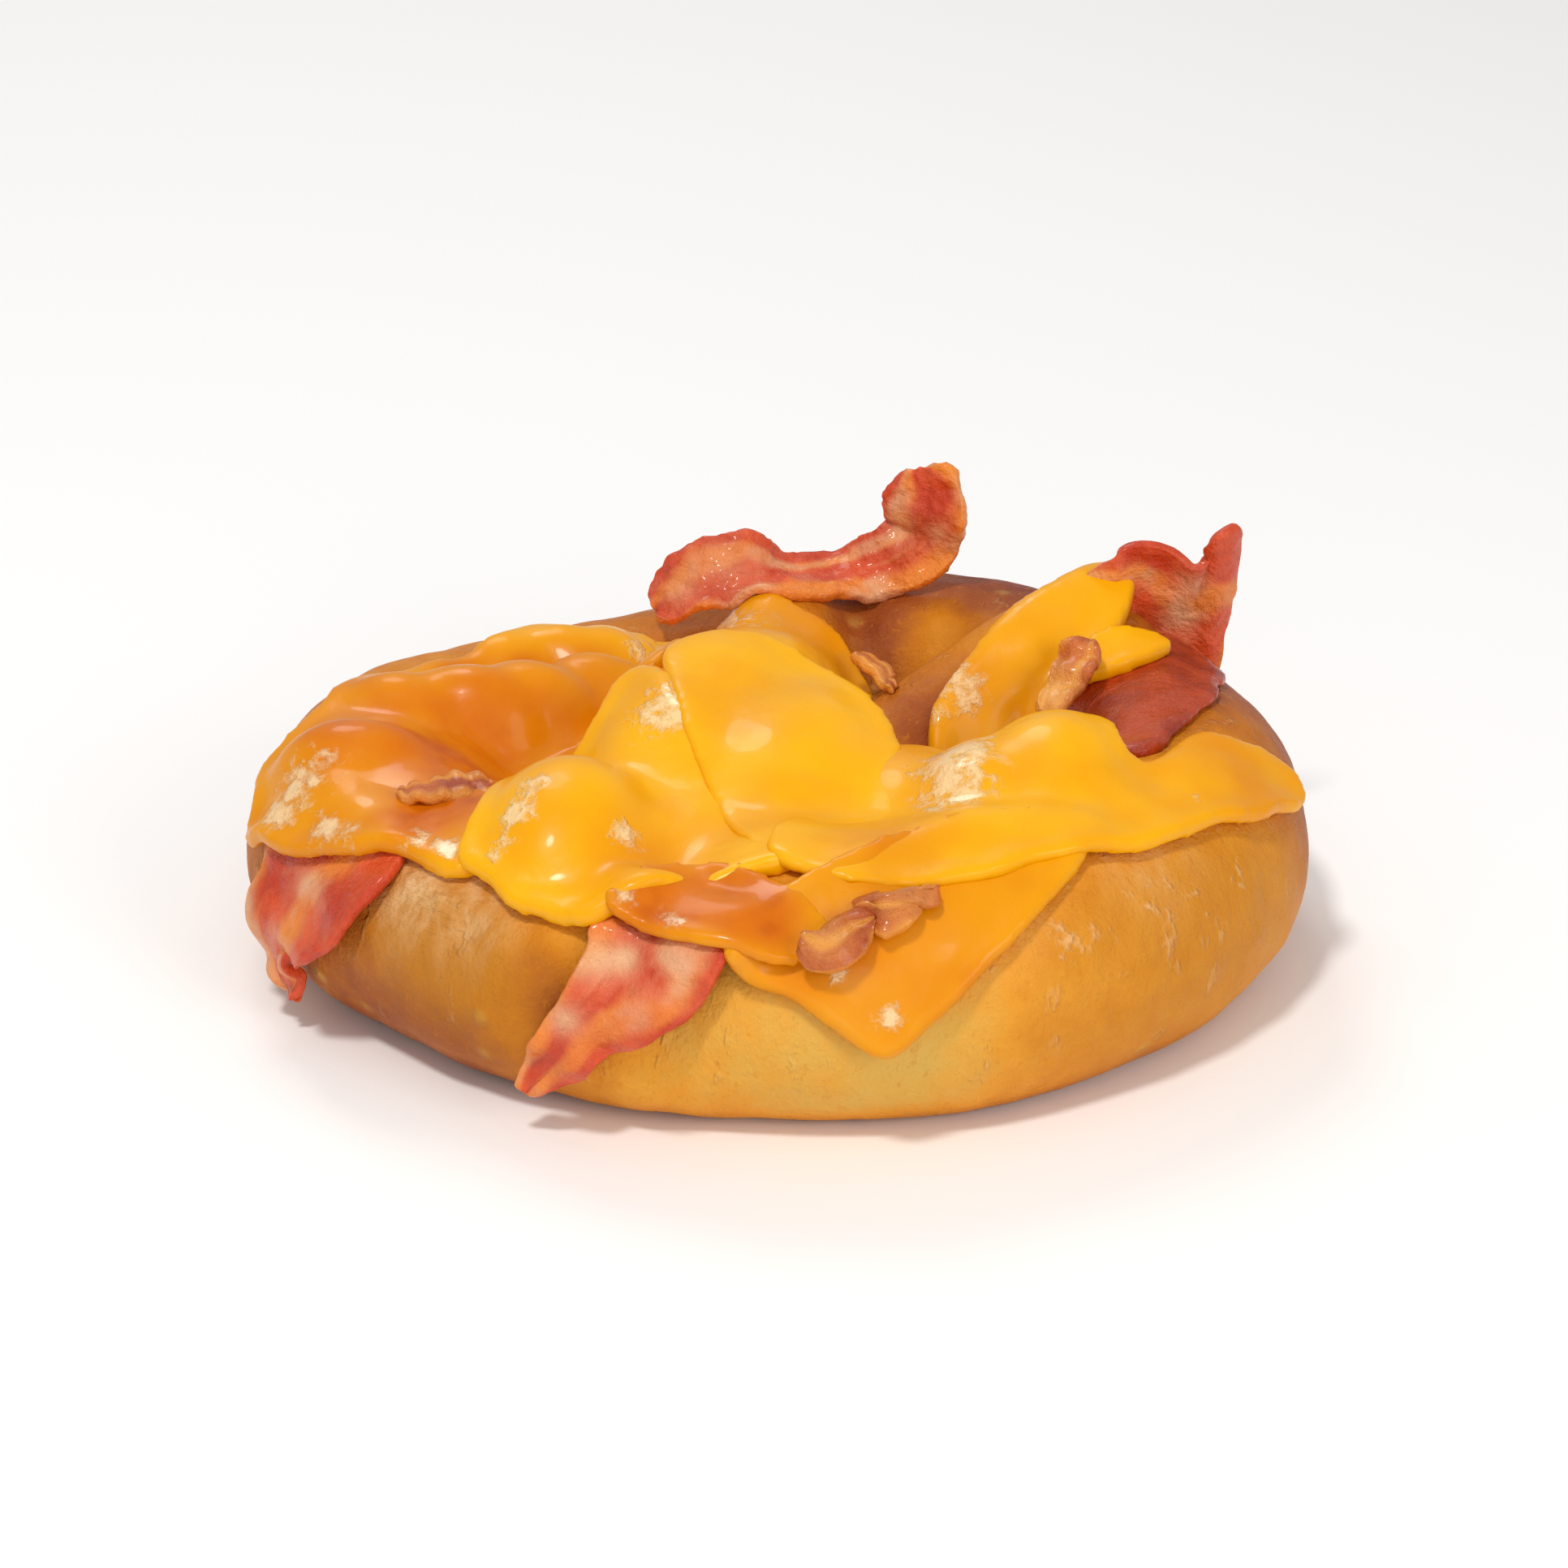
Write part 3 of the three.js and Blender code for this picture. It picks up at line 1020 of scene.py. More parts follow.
    def _hump_trees(self) -> list[BVHTree]:
        """Makes the hidden humps that hold a slice up over the open loops.

        Returns:
            A search tree for each.
        """
        trees = []
        for centre, radii in self.humps:
            bm = bmesh.new()
            bmesh.ops.create_icosphere(bm, subdivisions=4, radius=MM)
            bmesh.ops.scale(bm, vec=radii, verts=bm.verts)
            bmesh.ops.translate(bm, vec=place(*centre), verts=bm.verts)
            trees.append(BVHTree.FromBMesh(bm))
            bm.free()
        return trees

    def _floor(self, bm: bmesh.types.BMesh, axes: Matrix, below: Below) -> np.ndarray:
        """Finds how deep each point can sink before it lands.

        Args:
            bm: The flat slice.
            axes: Rows: across, along and against the direction in which it melts.
            below: What it lands on.

        Returns:
            Each point's lowest place against that direction, in metres.
        """
        back = axes.transposed()
        humps = self._hump_trees()
        flat = [Vector((v.co.x, v.co.y, 0.0)) for v in bm.verts]
        floor = np.full(len(flat), np.nan)
        for i, point in enumerate(flat):
            start = back @ Vector((point.x, point.y, self.above))
            fall = below.fall(start, -axes[2], humps)
            if fall is not None and (start - axes[2] * fall).z > MM:
                floor[i] = self.above - fall
        missed = np.isnan(floor)
        if missed.any():
            tree = KDTree(int((~missed).sum()))
            for i in np.flatnonzero(~missed):
                tree.insert(flat[i], int(i))
            tree.balance()
            for i in np.flatnonzero(missed):
                _, near, away = tree.find(flat[i])
                floor[i] = floor[near] - away * self.overhang
        return floor

    def _taut(self, bm: bmesh.types.BMesh, floor: np.ndarray) -> np.ndarray:
        """Pulls the sheet taut without letting it sink in, then eases it.

        Args:
            bm: The flat slice.
            floor: Each point's lowest place.

        Returns:
            Each point's place.
        """
        edges = np.array([[v.index for v in e.verts] for e in bm.edges])
        ends = np.concatenate((edges, edges[:, ::-1]))
        links = np.bincount(ends[:, 0], minlength=len(floor))

        def neighbours(level: np.ndarray) -> np.ndarray:
            """Gives the mean of each point's neighbours."""
            return np.bincount(ends[:, 0], weights=level[ends[:, 1]], minlength=len(floor)) / links

        level = floor.copy()
        for _ in range(self.tension):
            level = np.maximum(neighbours(level), floor)
        for _ in range(self.easing):
            level = neighbours(level)
        return level

    def _thicken(self, bm: bmesh.types.BMesh) -> None:
        """Closes the sheet into a solid slice with a fuller rim.

        Args:
            bm: The laid sheet. It is changed.
        """
        bottom = list(bm.verts)
        rim = KDTree(sum(v.is_boundary for v in bottom))
        for vertex in bottom:
            if vertex.is_boundary:
                rim.insert(vertex.co, vertex.index)
        rim.balance()
        points = np.array([v.co[:] for v in bottom]) / MM - np.array(TWIST)
        extra = patches(self.bulges, points)
        normals = [v.normal.copy() for v in bottom]
        if sum(n.z for n in normals) < 0:
            bmesh.ops.reverse_faces(bm, faces=bm.faces)
            normals = [-n for n in normals]
        depth = []
        for vertex, point, bulge in zip(bottom, points, extra):
            at = Vector(point) + Vector((self.seed * 3, 0, 0))
            swell = noise.noise(at / self.swell) * self.ripple
            swell += noise.noise(at / self.pucker) * self.ripple * 0.4
            from_rim = rim.find(vertex.co)[2] / MM
            lip = self.lip * math.exp(-((from_rim - self.lip_inset) / self.lip_width) ** 2)
            depth.append(max(self.thinnest, self.thickness + lip + swell + bulge))
        top = bmesh.ops.extrude_face_region(bm, geom=bm.faces[:])
        raised = [v for v in top["geom"] if isinstance(v, bmesh.types.BMVert)]
        origin = {tuple(round(c, 8) for c in v.co): i for i, v in enumerate(bottom)}
        for vertex in raised:
            i = origin[tuple(round(c, 8) for c in vertex.co)]
            vertex.co += normals[i] * depth[i] * MM
        for vertex, normal in zip(bottom, normals):
            vertex.co -= normal * self.bedded * MM
        bmesh.ops.recalc_face_normals(bm, faces=bm.faces)


@dataclass(frozen=True)
class Strip:
    """A strip of bacon: a ruffled ribbon along a route.

    A section is x, y, z of the middle, x, y, z of the direction across, and half the width.
    """

    node: str
    sections: Sequence[Sequence[float]]
    name: str = ""
    thickness: float = 1.5
    ruffle: float = 0.5
    ruffles: float = 4.0
    ragged: float = 0.8
    clear: bool = True  # whether it is pushed out of what it would cut into
    seed: float = 0.0
    step: float = 0.8
    lumpy: float = 0.22
    fatty: Sequence[Spot] = ()
    cooked: Cooked = Cooked.STREAKY
    pattern: float = 20.0  # the length that one unit of its UV map covers
    gap: float = 0.05  # the room that it keeps from what it lies on
    reach: float = 6.0  # how deep it may lie and still be pushed out
    settling: int = 2  # rounds of smoothing after that
    settled: float = 0.4  # how far each of them moves a point towards its neighbours
    notch: float = 5.0  # the size of the notches in its edges
    crumple: float = 6.0  # the size of its crumples
    lump: float = 3.2  # the size of its lumps
    lag: float = 1.1  # how far the ruffles shift from the middle to an edge, in radians
    middle: float = 0.35  # how deep the ruffles are in the middle, where they are 1 at the edges

    def build(self, below: Below, material: bpy.types.Material) -> bpy.types.Object:
        """Makes the strip.

        Args:
            below: What it lies on and stays out of.
            material: Its finish.

        Returns:
            The piece.
        """
        piece = new_object(self.name or self.node.replace("bacon_", "cooked_"), self._ribbon())
        if self.clear:
            self._rest(piece, below)
        self._thicken(piece)
        piece.data.materials.append(material)
        return piece

    def _ribbon(self) -> bmesh.types.BMesh:
        """Makes the thin ribbon, with a UV map that runs across and along it.

        Returns:
            The ribbon.
        """
        middles = [place(*section[:3]) for section in self.sections]
        length = sum((b - a).length for a, b in zip(middles, middles[1:])) / MM
        widest = max(section[6] for section in self.sections) * 2
        bm = bmesh.new()
        uv = bm.loops.layers.uv.new("strip")
        bmesh.ops.create_grid(
            bm,
            x_segments=max(8, int(widest / self.step)),
            y_segments=max(10, int(length / self.step)),
            size=1.0,
            calc_uvs=False,
        )
        for face in bm.faces:
            for loop in face.loops:
                across, along = (loop.vert.co.x + 1) / 2, (loop.vert.co.y + 1) / 2
                loop[uv].uv = (across, along * length / self.pattern)
        acrosses = [Vector(section[3:6]) for section in self.sections]
        widths = [Vector((section[6], 0.0, 0.0)) for section in self.sections]
        for vertex in bm.verts:
            u, t = vertex.co.x, (vertex.co.y + 1) / 2
            along = t * length
            before, after = (along_curve(middles, t + nudge) for nudge in (-0.01, 0.01))
            ahead = (after - before).normalized()
            normal = ahead.cross(along_curve(acrosses, t)).normalized()
            side = normal.cross(ahead)
            notch = noise.noise(Vector((along / self.notch, u * 2 + self.seed, 0)))
            ragged = 1 + notch * self.ragged / widest * 2
            half = max(0.5, along_curve(widths, t).x) * ragged * self._end_taper(t, length)
            phase = along * math.tau * self.ruffles / length + self.seed + u * self.lag
            depth = self.middle + (1 - self.middle) * abs(u)
            ripple = math.sin(phase) * depth * self.ruffle
            ripple += noise.noise(Vector((along / self.crumple, u * 1.6, self.seed))) * self.ruffle
            vertex.co = along_curve(middles, t) + side * (u * half * MM) + normal * (ripple * MM)
        bmesh.ops.recalc_face_normals(bm, faces=bm.faces)
        return bm

    @staticmethod
    def _end_taper(t: float, length: float) -> float:
        """Rounds the two ends off."""
        near = min(t, 1 - t) * length
        return math.sqrt(min(1.0, 0.25 + near / 2.5))

    def _rest(self, piece: bpy.types.Object, below: Below) -> None:
        """Pushes the ribbon out of whatever it would cut into.

        Args:
            piece: The ribbon.
            below: What it lies on.
        """
        room = (self.thickness / 2 + self.gap) * MM
        for vertex in piece.data.vertices:
            for tree, _ in below.trees:
                spot, normal, _, _ = tree.find_nearest(vertex.co)
                depth = (vertex.co - spot).dot(normal)
                if depth < room and (vertex.co - spot).length < self.reach * MM:
                    vertex.co = vertex.co + normal * (room - depth)
        relax(piece.data, self.settling, self.settled)

    def _thicken(self, piece: bpy.types.Object) -> None:
        """Gives the ribbon its thickness, with rounded edges, and stores its fatty places.

        Args:
            piece: The ribbon.
        """
        solid = piece.modifiers.new("thickness", "SOLIDIFY")
        solid.thickness = self.thickness * MM
        solid.offset = 0.0
        rounding = piece.modifiers.new("rounding", "SUBSURF")
        rounding.levels = rounding.render_levels = 1
        apply_modifiers(piece)
        points = points_of(piece.data)
        lumps = [noise.fractal(Vector(point) / self.lump, 0.7, 2.0, 3) for point in points]
        push_out(piece.data, np.array(lumps) * self.lumpy)
        store(piece.data, "fatty", patches(self.fatty, points_of(piece.data), 1.0))


# ---- the toppings, in the order in which they are laid --------------------------------------------

# In every slice, the oily spots are painted highlights.
# Hangs down the left side, from under the left back slice.
LEFT_STRIP = Strip(
    "bacon_strip_left",
    (
        (-44, -39, 28, 0.85, -0.45, 0.25, 10.5), (-48.0, -43.5, 23.5, 0.85, -0.45, 0.25, 13.0),
        (-52.6, -45.6, 17.5, 0.75, -0.6, 0.25, 11.0), (-55.2, -45.7, 12, 0.7, -0.65, 0.2, 6.0),
        (-54, -46, 8, 0.7, -0.7, 0.1, 3.0), (-52.5, -46.5, 4.5, 0.7, -0.7, 0, 1.6),
    ),
    ruffle=0.8, seed=1.0,
    fatty=spots((-52, -47, 22, 3.0, 0.5), (-54, -46, 13, 1.6, 0.4)),
)
# Hangs over the cleft at the front and tapers to a tip.
FRONT_STRIP = Strip(
    "bacon_strip_front",
    (
        (0, -57, 30, 0.95, -0.1, 0.1, 9.5), (-1.5, -62, 26, 0.95, -0.1, 0.1, 9.3),
        (-4.6, -65.3, 21, 0.95, -0.1, -0.2, 7.4), (-10, -67.2, 15.5, 0.8, 0, -0.5, 4.6),
        (-13.5, -67, 11, 0.75, 0, -0.65, 3.8), (-17.5, -65.6, 6, 0.8, 0, -0.6, 1.6),
    ),
    ruffle=0.9, seed=2.0,
    fatty=spots((-9, -64, 23, 2.4, 0.9), (-5.5, -64, 24, 1.8, 0.8), (-12, -67.5, 17, 2.0, 0.7)),
)
# The wide piece of bacon under the right slice, in the dark bacon, whose darkness is partly painted
# shade.
SHADED_DARK_PIECE = Slice(
    "bacon_strip_rear_right",
    ((36, 0), (35, 10), (40, 18), (48, 24), (55, 19), (56, 8), (53, -4), (48, -14), (41, -8)),
    name="bacon_sheet", thickness=1.3, lip=0.2, tension=4, ripple=0.5, seed=9.0,
)
# The large slice over the left loop. It sags into the loop's hole and folds there.
LEFT_BACK = Slice(
    "cheese_slice_left_back",
    (
        (-62.5, -33), (-58.5, -40), (-52, -44.5), (-44, -48), (-37, -50.5), (-28, -54), (-24, -46),
        (-24, -30), (-20, -12), (-14, -6), (-13, 5), (-16, 15), (-24, 25), (-30, 22), (-36.5, 21.5),
        (-43.5, 12), (-49, 3), (-55.5, -5.5), (-59.5, -14), (-62.5, -25),
    ),
    lip=0.5, tension=9, ripple=0.5, seed=1.0,
    humps=(
        ((-24, -5, 12), (19, 22, 11)), ((-49, -11, 25), (9, 4, 6.6)), ((-41, -7, 25), (9, 4, 6.6)),
        ((-34, -2, 24), (9, 4, 6.8)), ((-26, 5, 23), (9, 4.5, 6.6)), ((-40, 11, 22), (8, 5, 6.4)),
        ((-35, 15, 22), (9, 5, 6.6)), ((-29, 18, 21), (8, 5, 6.6)), ((-50, -27, 26), (9, 5, 5.6)),
    ),
    bulges=spots(
        (-51, -1, 31, 3.5, -1.2), (-43, 2, 30, 4, -2.0), (-35, 10, 28, 4, -1.9), (-48, -8, 33, 5, 0.9),
        (-42, -6, 33, 5, 1.0), (-36, -3, 32, 5, 1.1), (-30, 3, 30, 5, 1.0), (-25, 9, 30, 5, 0.8),
        (-40, 11, 29, 4, 0.8), (-34, 16, 29, 4, 1.0), (-29, 18, 29, 4, 0.8), (-52, -30, 31, 6, 1.2),
        (-37, -40, 32, 4, -1.0), (-33, -26, 31, 5, -1.4), (-44, -24, 33, 4, 1.0),
        (-40, -17, 32, 4, -0.8),
    ),
    # The spots at (-45, 3), (-37, 8) and (-30, 13) paint shade along the fold valleys.
    thin_and_shade=spots(
        (-40, -20, 30, 32, 0.9), (-50, -30, 29, 12, 0.3), (-36, -46, 30, 5, 0.5),
        (-45, 3, 28, 3.5, 0.5), (-37, 8, 27, 4, 0.6), (-30, 13, 27, 4, 0.5), (-37, -16, 29, 5, 0.3),
        (-35, -40, 31, 6, 0.75), (-33, -28, 30, 7, 0.4), (-38, 1, 28, 6, 0.2), (-25, 0, 26, 12, 0.35),
        (-26, -45, 28, 6, 0.5),
    ),
    # Painted highlights along the front edge and on the oily places.
    oily_highlit=spots(
        (-54, -35, 29, 5, 1.0), (-48.5, -44, 27, 3, 0.9), (-57, -38, 25, 3, 0.8),
        (-35, -48.5, 30, 2.4, 1.0), (-31, -50.5, 30, 2.2, 1.0), (-23, 17, 28, 3.2, 0.8),
        (-18, 12, 30, 3.0, 0.8), (-44, -46.5, 28, 2.4, 0.8),
    ),
)
# A thin oily slice, with painted highlights, that rises to the curled strip.
REAR = Slice(
    "cheese_slice_rear",
    (
        (-26, 22), (-20, 10), (-15, 1), (-5, 0), (8, 1), (10, 0), (10.5, 8), (8, 17), (4, 22), (-3, 26),
        (-14, 27),
    ),
    thickness=1.1, lip=0.1, ripple=0.6, seed=2.0,
    bulges=spots((-22, 20, 30, 4, 1.4), (-16, 14, 33, 4, -0.9)),
    thin_and_shade=spots((4, 18, 37, 11, 1.0), (-14, 12, 33, 9, 0.35), (-6, 26, 37, 9, 0.5)),
    oily_highlit=spots((-18, 14, 33, 12, 1.0), (8, 14, 37, 7, 0.8)),
)
# The strand along the right arm.
ARM = Slice(
    "cheese_slice_arm",
    (
        (18.5, 1), (19, 5), (22.5, 10), (27, 17.5), (32.5, 24.5), (37, 30), (41.5, 28), (41.5, 19),
        (38.5, 10), (34, 5), (30, 0), (26, -5), (21, -3),
    ),
    thickness=1.9, lip=0.5, tension=4, wave=0.6, seed=3.0,
    bulges=spots((39, 27, 35, 8, 2.4), (30, 14, 34, 5, 0.8)),
    thin_and_shade=spots((36, 22, 36, 8, 0.35), (26, 8, 32, 6, 0.5)),
    oily_highlit=spots((21, 6, 31, 5, 1.0)),
)
# A small flap that has run off the strand.
FLAP = Slice(
    "cheese_slice_arm",
    ((35.5, 8), (38.5, 15), (43, 18.5), (48.5, 17), (46.5, 12.5), (42, 9)),
    name="cheese_flap", thickness=2.6, lip=-0.6, tension=1, wave=0.2, seed=3.5,
)
# The puffed slice on the left loop's front.
LEFT_FRONT = Slice(
    "cheese_slice_left_front",
    (
        (-29, -52), (-25, -56), (-20, -59.5), (-13, -62), (-8.5, -62), (-1, -57), (8, -53), (14, -48),
        (10, -36), (-2, -28), (-9, -18), (-14, -10), (-18, -10), (-22, -20), (-26, -30), (-28.5, -42),
    ),
    lip=0.6, tension=14, wave=0.8, seed=4.0,
    humps=(((-18, -43, 23), (10.5, 14, 12.5)),),
    bulges=spots((-17, -42, 37, 10, 1.0), (-5, -33, 34, 5, -0.4)),
    thin_and_shade=spots((-6, -50, 30, 7, 0.45), (-17, -50, 34, 6, 0.2)),
    oily_highlit=spots(
        (-22, -50, 35, 2.6, 1.0), (-23.5, -53.5, 32, 2.4, 1.0), (-21, -46, 37, 2.2, 0.9),
        (-10.5, -22, 37, 4.6, 1.3), (-9, -49, 33, 2.8, 0.9), (-17, -8, 37, 3, 0.8),
    ),
)
# The slice whose corner hangs down the front in a point.
FRONT = Slice(
    "cheese_slice_front",
    (
        (6, -64, 26), (9, -65.5, 23.5), (14, -64.5, 21.5), (18, -64.5, 19), (22, -64, 15.5),
        (26, -62, 12.5), (30.5, -61, 17), (38, -53.5, 24), (42.5, -46.5, 28), (45.5, -39, 31),
        (44, -33, 33), (30, -38, 33), (16, -50, 31), (9, -58, 28),
    ),
    melts=(0.0, 0.7, -0.7), lip=0.5, wave=0.6, seed=5.0,
    thin_and_shade=spots((24, -55, 24, 24, 0.85)),
    oily_highlit=spots((26, -62.5, 18.5, 2.2, 1.0), (20, -63, 24, 2, 0.8)),
)
# The wide slice over the right loop, with a puffed lobe.
RIGHT = Slice(
    "cheese_slice_right",
    (
        (8, -44), (10, -51), (17, -54), (25, -53.5), (33, -50), (42, -43), (51, -35.5), (60, -24),
        (67.5, -11), (68.5, -5), (65, -2.5), (58, -5), (54, -7), (50.5, -15), (47, -17), (44, -12),
        (38, -7), (31, -6), (24, -6), (17, -5), (12, -12), (10, -24),
    ),
    lip=0.3, tension=18, wave=0.7, seed=7.0,
    humps=(
        ((39, -20, 20), (12, 14, 17.6)), ((30, -25, 20), (9, 12, 15.5)), ((20, -20, 18), (11, 15, 13)),
    ),
    bulges=spots(
        (35, -12, 33, 9, 0.8), (50, -20, 33, 5, -1.0), (16, -54, 31, 6, -0.8), (24, -54, 31, 6, -0.7),
        (50, -11, 33, 4, -0.8),
    ),
    thin_and_shade=spots((58, -12, 30, 14, 0.45), (22, -50, 31, 10, 0.35), (17, -20, 30, 8, 0.35)),
    oily_highlit=spots((27, -23, 34, 5.5, 1.25), (28, -32, 35, 5, 1.1), (55, -22, 31, 3, 0.5)),
)
# The rounded slice over the crossed arms.
CENTRE = Slice(
    "cheese_slice_centre",
    (
        (-14, -8), (-10.5, -2), (-5, 1.5), (2, 1), (9, -2), (14, -8), (18, -15), (20, -23), (21, -32),
        (18, -43), (12, -51), (6, -47), (-0.5, -37), (-6.5, -27), (-12, -15),
    ),
    lip=0.1, tension=26, ripple=0.1, wave=0.4, seed=8.0,
    humps=(((3, -16, 22), (16, 24, 13.5)),),
    bulges=spots(
        (16, -44, 34, 8, -1.3), (9, -49, 34, 6, -1.2), (21, -32, 33, 7, -1.3), (20, -22, 32, 5, -0.9),
        (-12, -9, 36, 3, 0.6), (-3, -35, 35, 6, -0.9),
    ),
)
# The browned slice over the cleft.
WAVE = Slice(
    "cheese_slice_wave",
    (
        (-8.5, -61.5), (-3, -64), (4, -65.5), (11, -65.5), (17, -62), (18.5, -58.5), (14, -55.5),
        (8, -52.5), (2, -51), (-3, -53), (-7, -57),
    ),
    thickness=1.7, lip=-0.1, ripple=0.3, wave=0.3, seed=6.0,
    bulges=spots(
        (-3, -52, 32, 3, 1.4), (3, -50.5, 32, 3, 1.6), (9, -52, 33, 3, 1.6), (14, -55, 33, 3, 1.4),
        (4, -57, 31, 4, -1.4), (-2, -58, 30, 3, -0.8),
    ),
    thin_and_shade=spots((4, -57, 31, 9, 1.25), (11, -60, 29, 7, 0.8), (-4, -60, 28, 6, 0.8)),
    oily_highlit=spots((-6, -61, 30, 1.8, 1.1), (0, -62.5, 29, 2.0, 0.9), (8, -52, 33, 2.0, 0.5)),
)
# Lies over the belly, crumpled at one end and curled up at the other.
REAR_CURL = Strip(
    "bacon_strip_rear_curl",
    (
        (-24, 26, 30, -0.1, 0.7, 0.7, 3.5), (-21, 26.5, 32.8, -0.1, 0.7, 0.7, 4.8),
        (-16.7, 27.5, 35.5, -0.1, 0.7, 0.7, 5.8), (-11.5, 29.5, 36, 0, 0.75, 0.6, 6),
        (-6.3, 31.6, 34.5, 0, 0.95, 0.25, 5.5), (-0.1, 34.9, 33.5, 0, 0.98, 0.15, 5.2),
        (4.8, 36, 34.8, -0.2, 0.6, 0.75, 5.4), (8.6, 36.8, 36.5, -0.5, 0.5, 0.65, 5.6),
        (11.2, 37.2, 39.4, -0.85, 0.35, 0.35, 6.2), (11.8, 37, 43, -0.95, 0.3, -0.05, 6.6),
        (11.4, 37.6, 46.4, -0.95, 0.3, -0.15, 6.2), (10.8, 39, 48.6, -0.95, 0.3, -0.2, 4.6),
    ),
    ruffle=0.55, ruffles=6.0, lumpy=0.5, seed=3.0,
    fatty=spots(
        (14, 36, 41, 1.6, 0.55), (8, 36, 41, 2.6, 0.6), (-14, 27, 38, 3.5, 0.35),
        (-20, 25, 34, 2.5, 0.35),
    ),
)
# Stands up behind the right arm's tip, with a pointed wing.
REAR_RIGHT = Strip(
    "bacon_strip_rear_right",
    (
        (35.5, 24, 38.6, 0.0, -0.1, 1, 3.4), (39, 25.5, 38.2, 0.0, -0.2, 1, 6.4),
        (42.6, 26.5, 38.2, 0.0, -0.3, 1, 8.2), (46.2, 28, 36.6, 0.0, -0.3, 1, 7.6),
        (49.2, 28.5, 35.4, 0.0, -0.3, 1, 9.5), (52.2, 29.5, 35.2, 0.0, -0.2, 1, 13.6),
        (54.6, 31, 35.0, 0.0, -0.2, 1, 12.4),
    ),
    ruffle=0.7, ruffles=3.0, clear=False, seed=4.0,
    fatty=spots((37.5, 24.5, 40, 2.5, 0.7), (49.6, 27, 40, 2.2, 0.55), (47.8, 27, 34, 2.4, 0.55)),
)
# A small fold beside the right arm.
FOLD = Strip(
    "bacon_strip_fold",
    (
        (38.4, 9, 38, 0.95, -0.2, 0, 2.4), (37.6, 6.4, 36.6, 0.95, -0.2, 0.1, 3.4),
        (36.2, 3, 34, 0.95, -0.2, 0.1, 3.0), (34.4, -1, 31.4, 0.95, -0.2, 0.1, 2.2),
    ),
    thickness=1.5, ruffle=1.2, ruffles=3.0, lumpy=0.4, seed=5.0, cooked=Cooked.CRISP,
    fatty=spots((35.0, 2.5, 34, 3.2, 0.9), (34, -1, 32, 2.5, 0.7)),
)
# Two curls at the front.
FRONT_BIT = Strip(
    "bacon_bit_front",
    (
        (15, -62.5, 27, 0.3, 0.3, 0.9, 2.0), (18.5, -63, 27, 0.3, 0.5, 0.8, 3.0),
        (21.5, -60.5, 28.5, 0.5, 0.7, 0.5, 3.0), (23.5, -58, 29.5, 0.5, 0.7, 0.4, 2.0),
    ),
    thickness=2.6, seed=6.0, cooked=Cooked.CRISP,
    fatty=spots((18, -63, 29, 3.0, 0.4)),
)
UPPER_FRONT_BIT = Strip(
    "bacon_bit_front",
    (
        (21, -58, 29.5, 0.3, 0.3, 0.9, 2.0), (24, -58, 29.8, 0.5, 0.5, 0.7, 3.0),
        (27.5, -55.5, 30, 0.6, 0.6, 0.4, 3.0), (29, -52.5, 30.5, 0.6, 0.7, 0.2, 1.8),
    ),
    name="bacon_bit_front_upper", thickness=2.6, seed=6.5, cooked=Cooked.CRISP,
    fatty=spots((26, -57, 31, 3.0, 0.4)),
)
# A chip half sunk in the left back slice.
LEFT_BIT = Strip(
    "bacon_bit_left",
    (
        (-41, -38, 30.0, 0.3, 0.9, 0, 2.4), (-35, -36.5, 30.7, 0.3, 0.9, 0, 3.6),
        (-29.5, -34, 30.0, 0.3, 0.9, 0, 2.4),
    ),
    ruffle=0.7, ruffles=5.0, clear=False, seed=7.0, cooked=Cooked.CRISP,
)
# A small piece in the gap by the arms.
CENTRE_BIT = Strip(
    "bacon_bit_centre",
    (
        (6.5, 15, 31, 0.5, 0.9, -0.2, 1.6), (10.5, 12, 30, 0.4, 0.9, -0.2, 2.2),
        (14.5, 8, 27, 0.4, 0.9, -0.2, 1.6),
    ),
    seed=8.0, cooked=Cooked.CRISP,
    fatty=spots((10.5, 12, 31, 4, 0.3)),
)


@dataclass(frozen=True)
class Toppings:
    """The bacon and the cheese, each in the order in which it is laid."""

    tucked: Sequence[Strip] = (LEFT_STRIP, FRONT_STRIP)
    sheet: Slice = SHADED_DARK_PIECE
    slices: Sequence[Slice] = (LEFT_BACK, REAR, ARM, FLAP, LEFT_FRONT, FRONT, RIGHT, CENTRE, WAVE)
    loose: Sequence[Strip] = (
        REAR_CURL,
        REAR_RIGHT,
        FOLD,
        FRONT_BIT,
        UPPER_FRONT_BIT,
        LEFT_BIT,
        CENTRE_BIT,
    )
    sink: float = 1.5  # how far a slice melts into the slices under it


# ---- the studio -----------------------------------------------------------------------------------


def aim(name: str, data: bpy.types.ID, at: Vector, ahead: Vector) -> bpy.types.Object:
    """Puts a lamp or a camera in the scene.

    Args:
        name: The object's name.
        data: The lamp or the camera.
        at: Its place, in metres.
        ahead: The direction in which it looks.

    Returns:
        The object.
    """
    thing = bpy.data.objects.new(name, data)
    thing.location = at
    thing.rotation_mode = "QUATERNION"
    thing.rotation_quaternion = ahead.to_track_quat("-Z", "Y")
    bpy.context.collection.objects.link(thing)
    return thing


@dataclass(frozen=True)
class Lamp:
    """A soft round lamp aimed at the pretzel."""

    name: str
    at: Point  # in metres
    size: float  # in metres
    power: float  # in watts
    colour: Point

    def add(self, target: Vector) -> None:
        """Adds the lamp.

        Args:
            target: What it lights, in metres.
        """
        data = bpy.data.lights.new(self.name, "AREA")
        data.shape = "DISK"
        data.size = self.size
        data.energy = self.power
        data.color = self.colour
        at = Vector(self.at)
        aim(self.name, data, at, target - at)


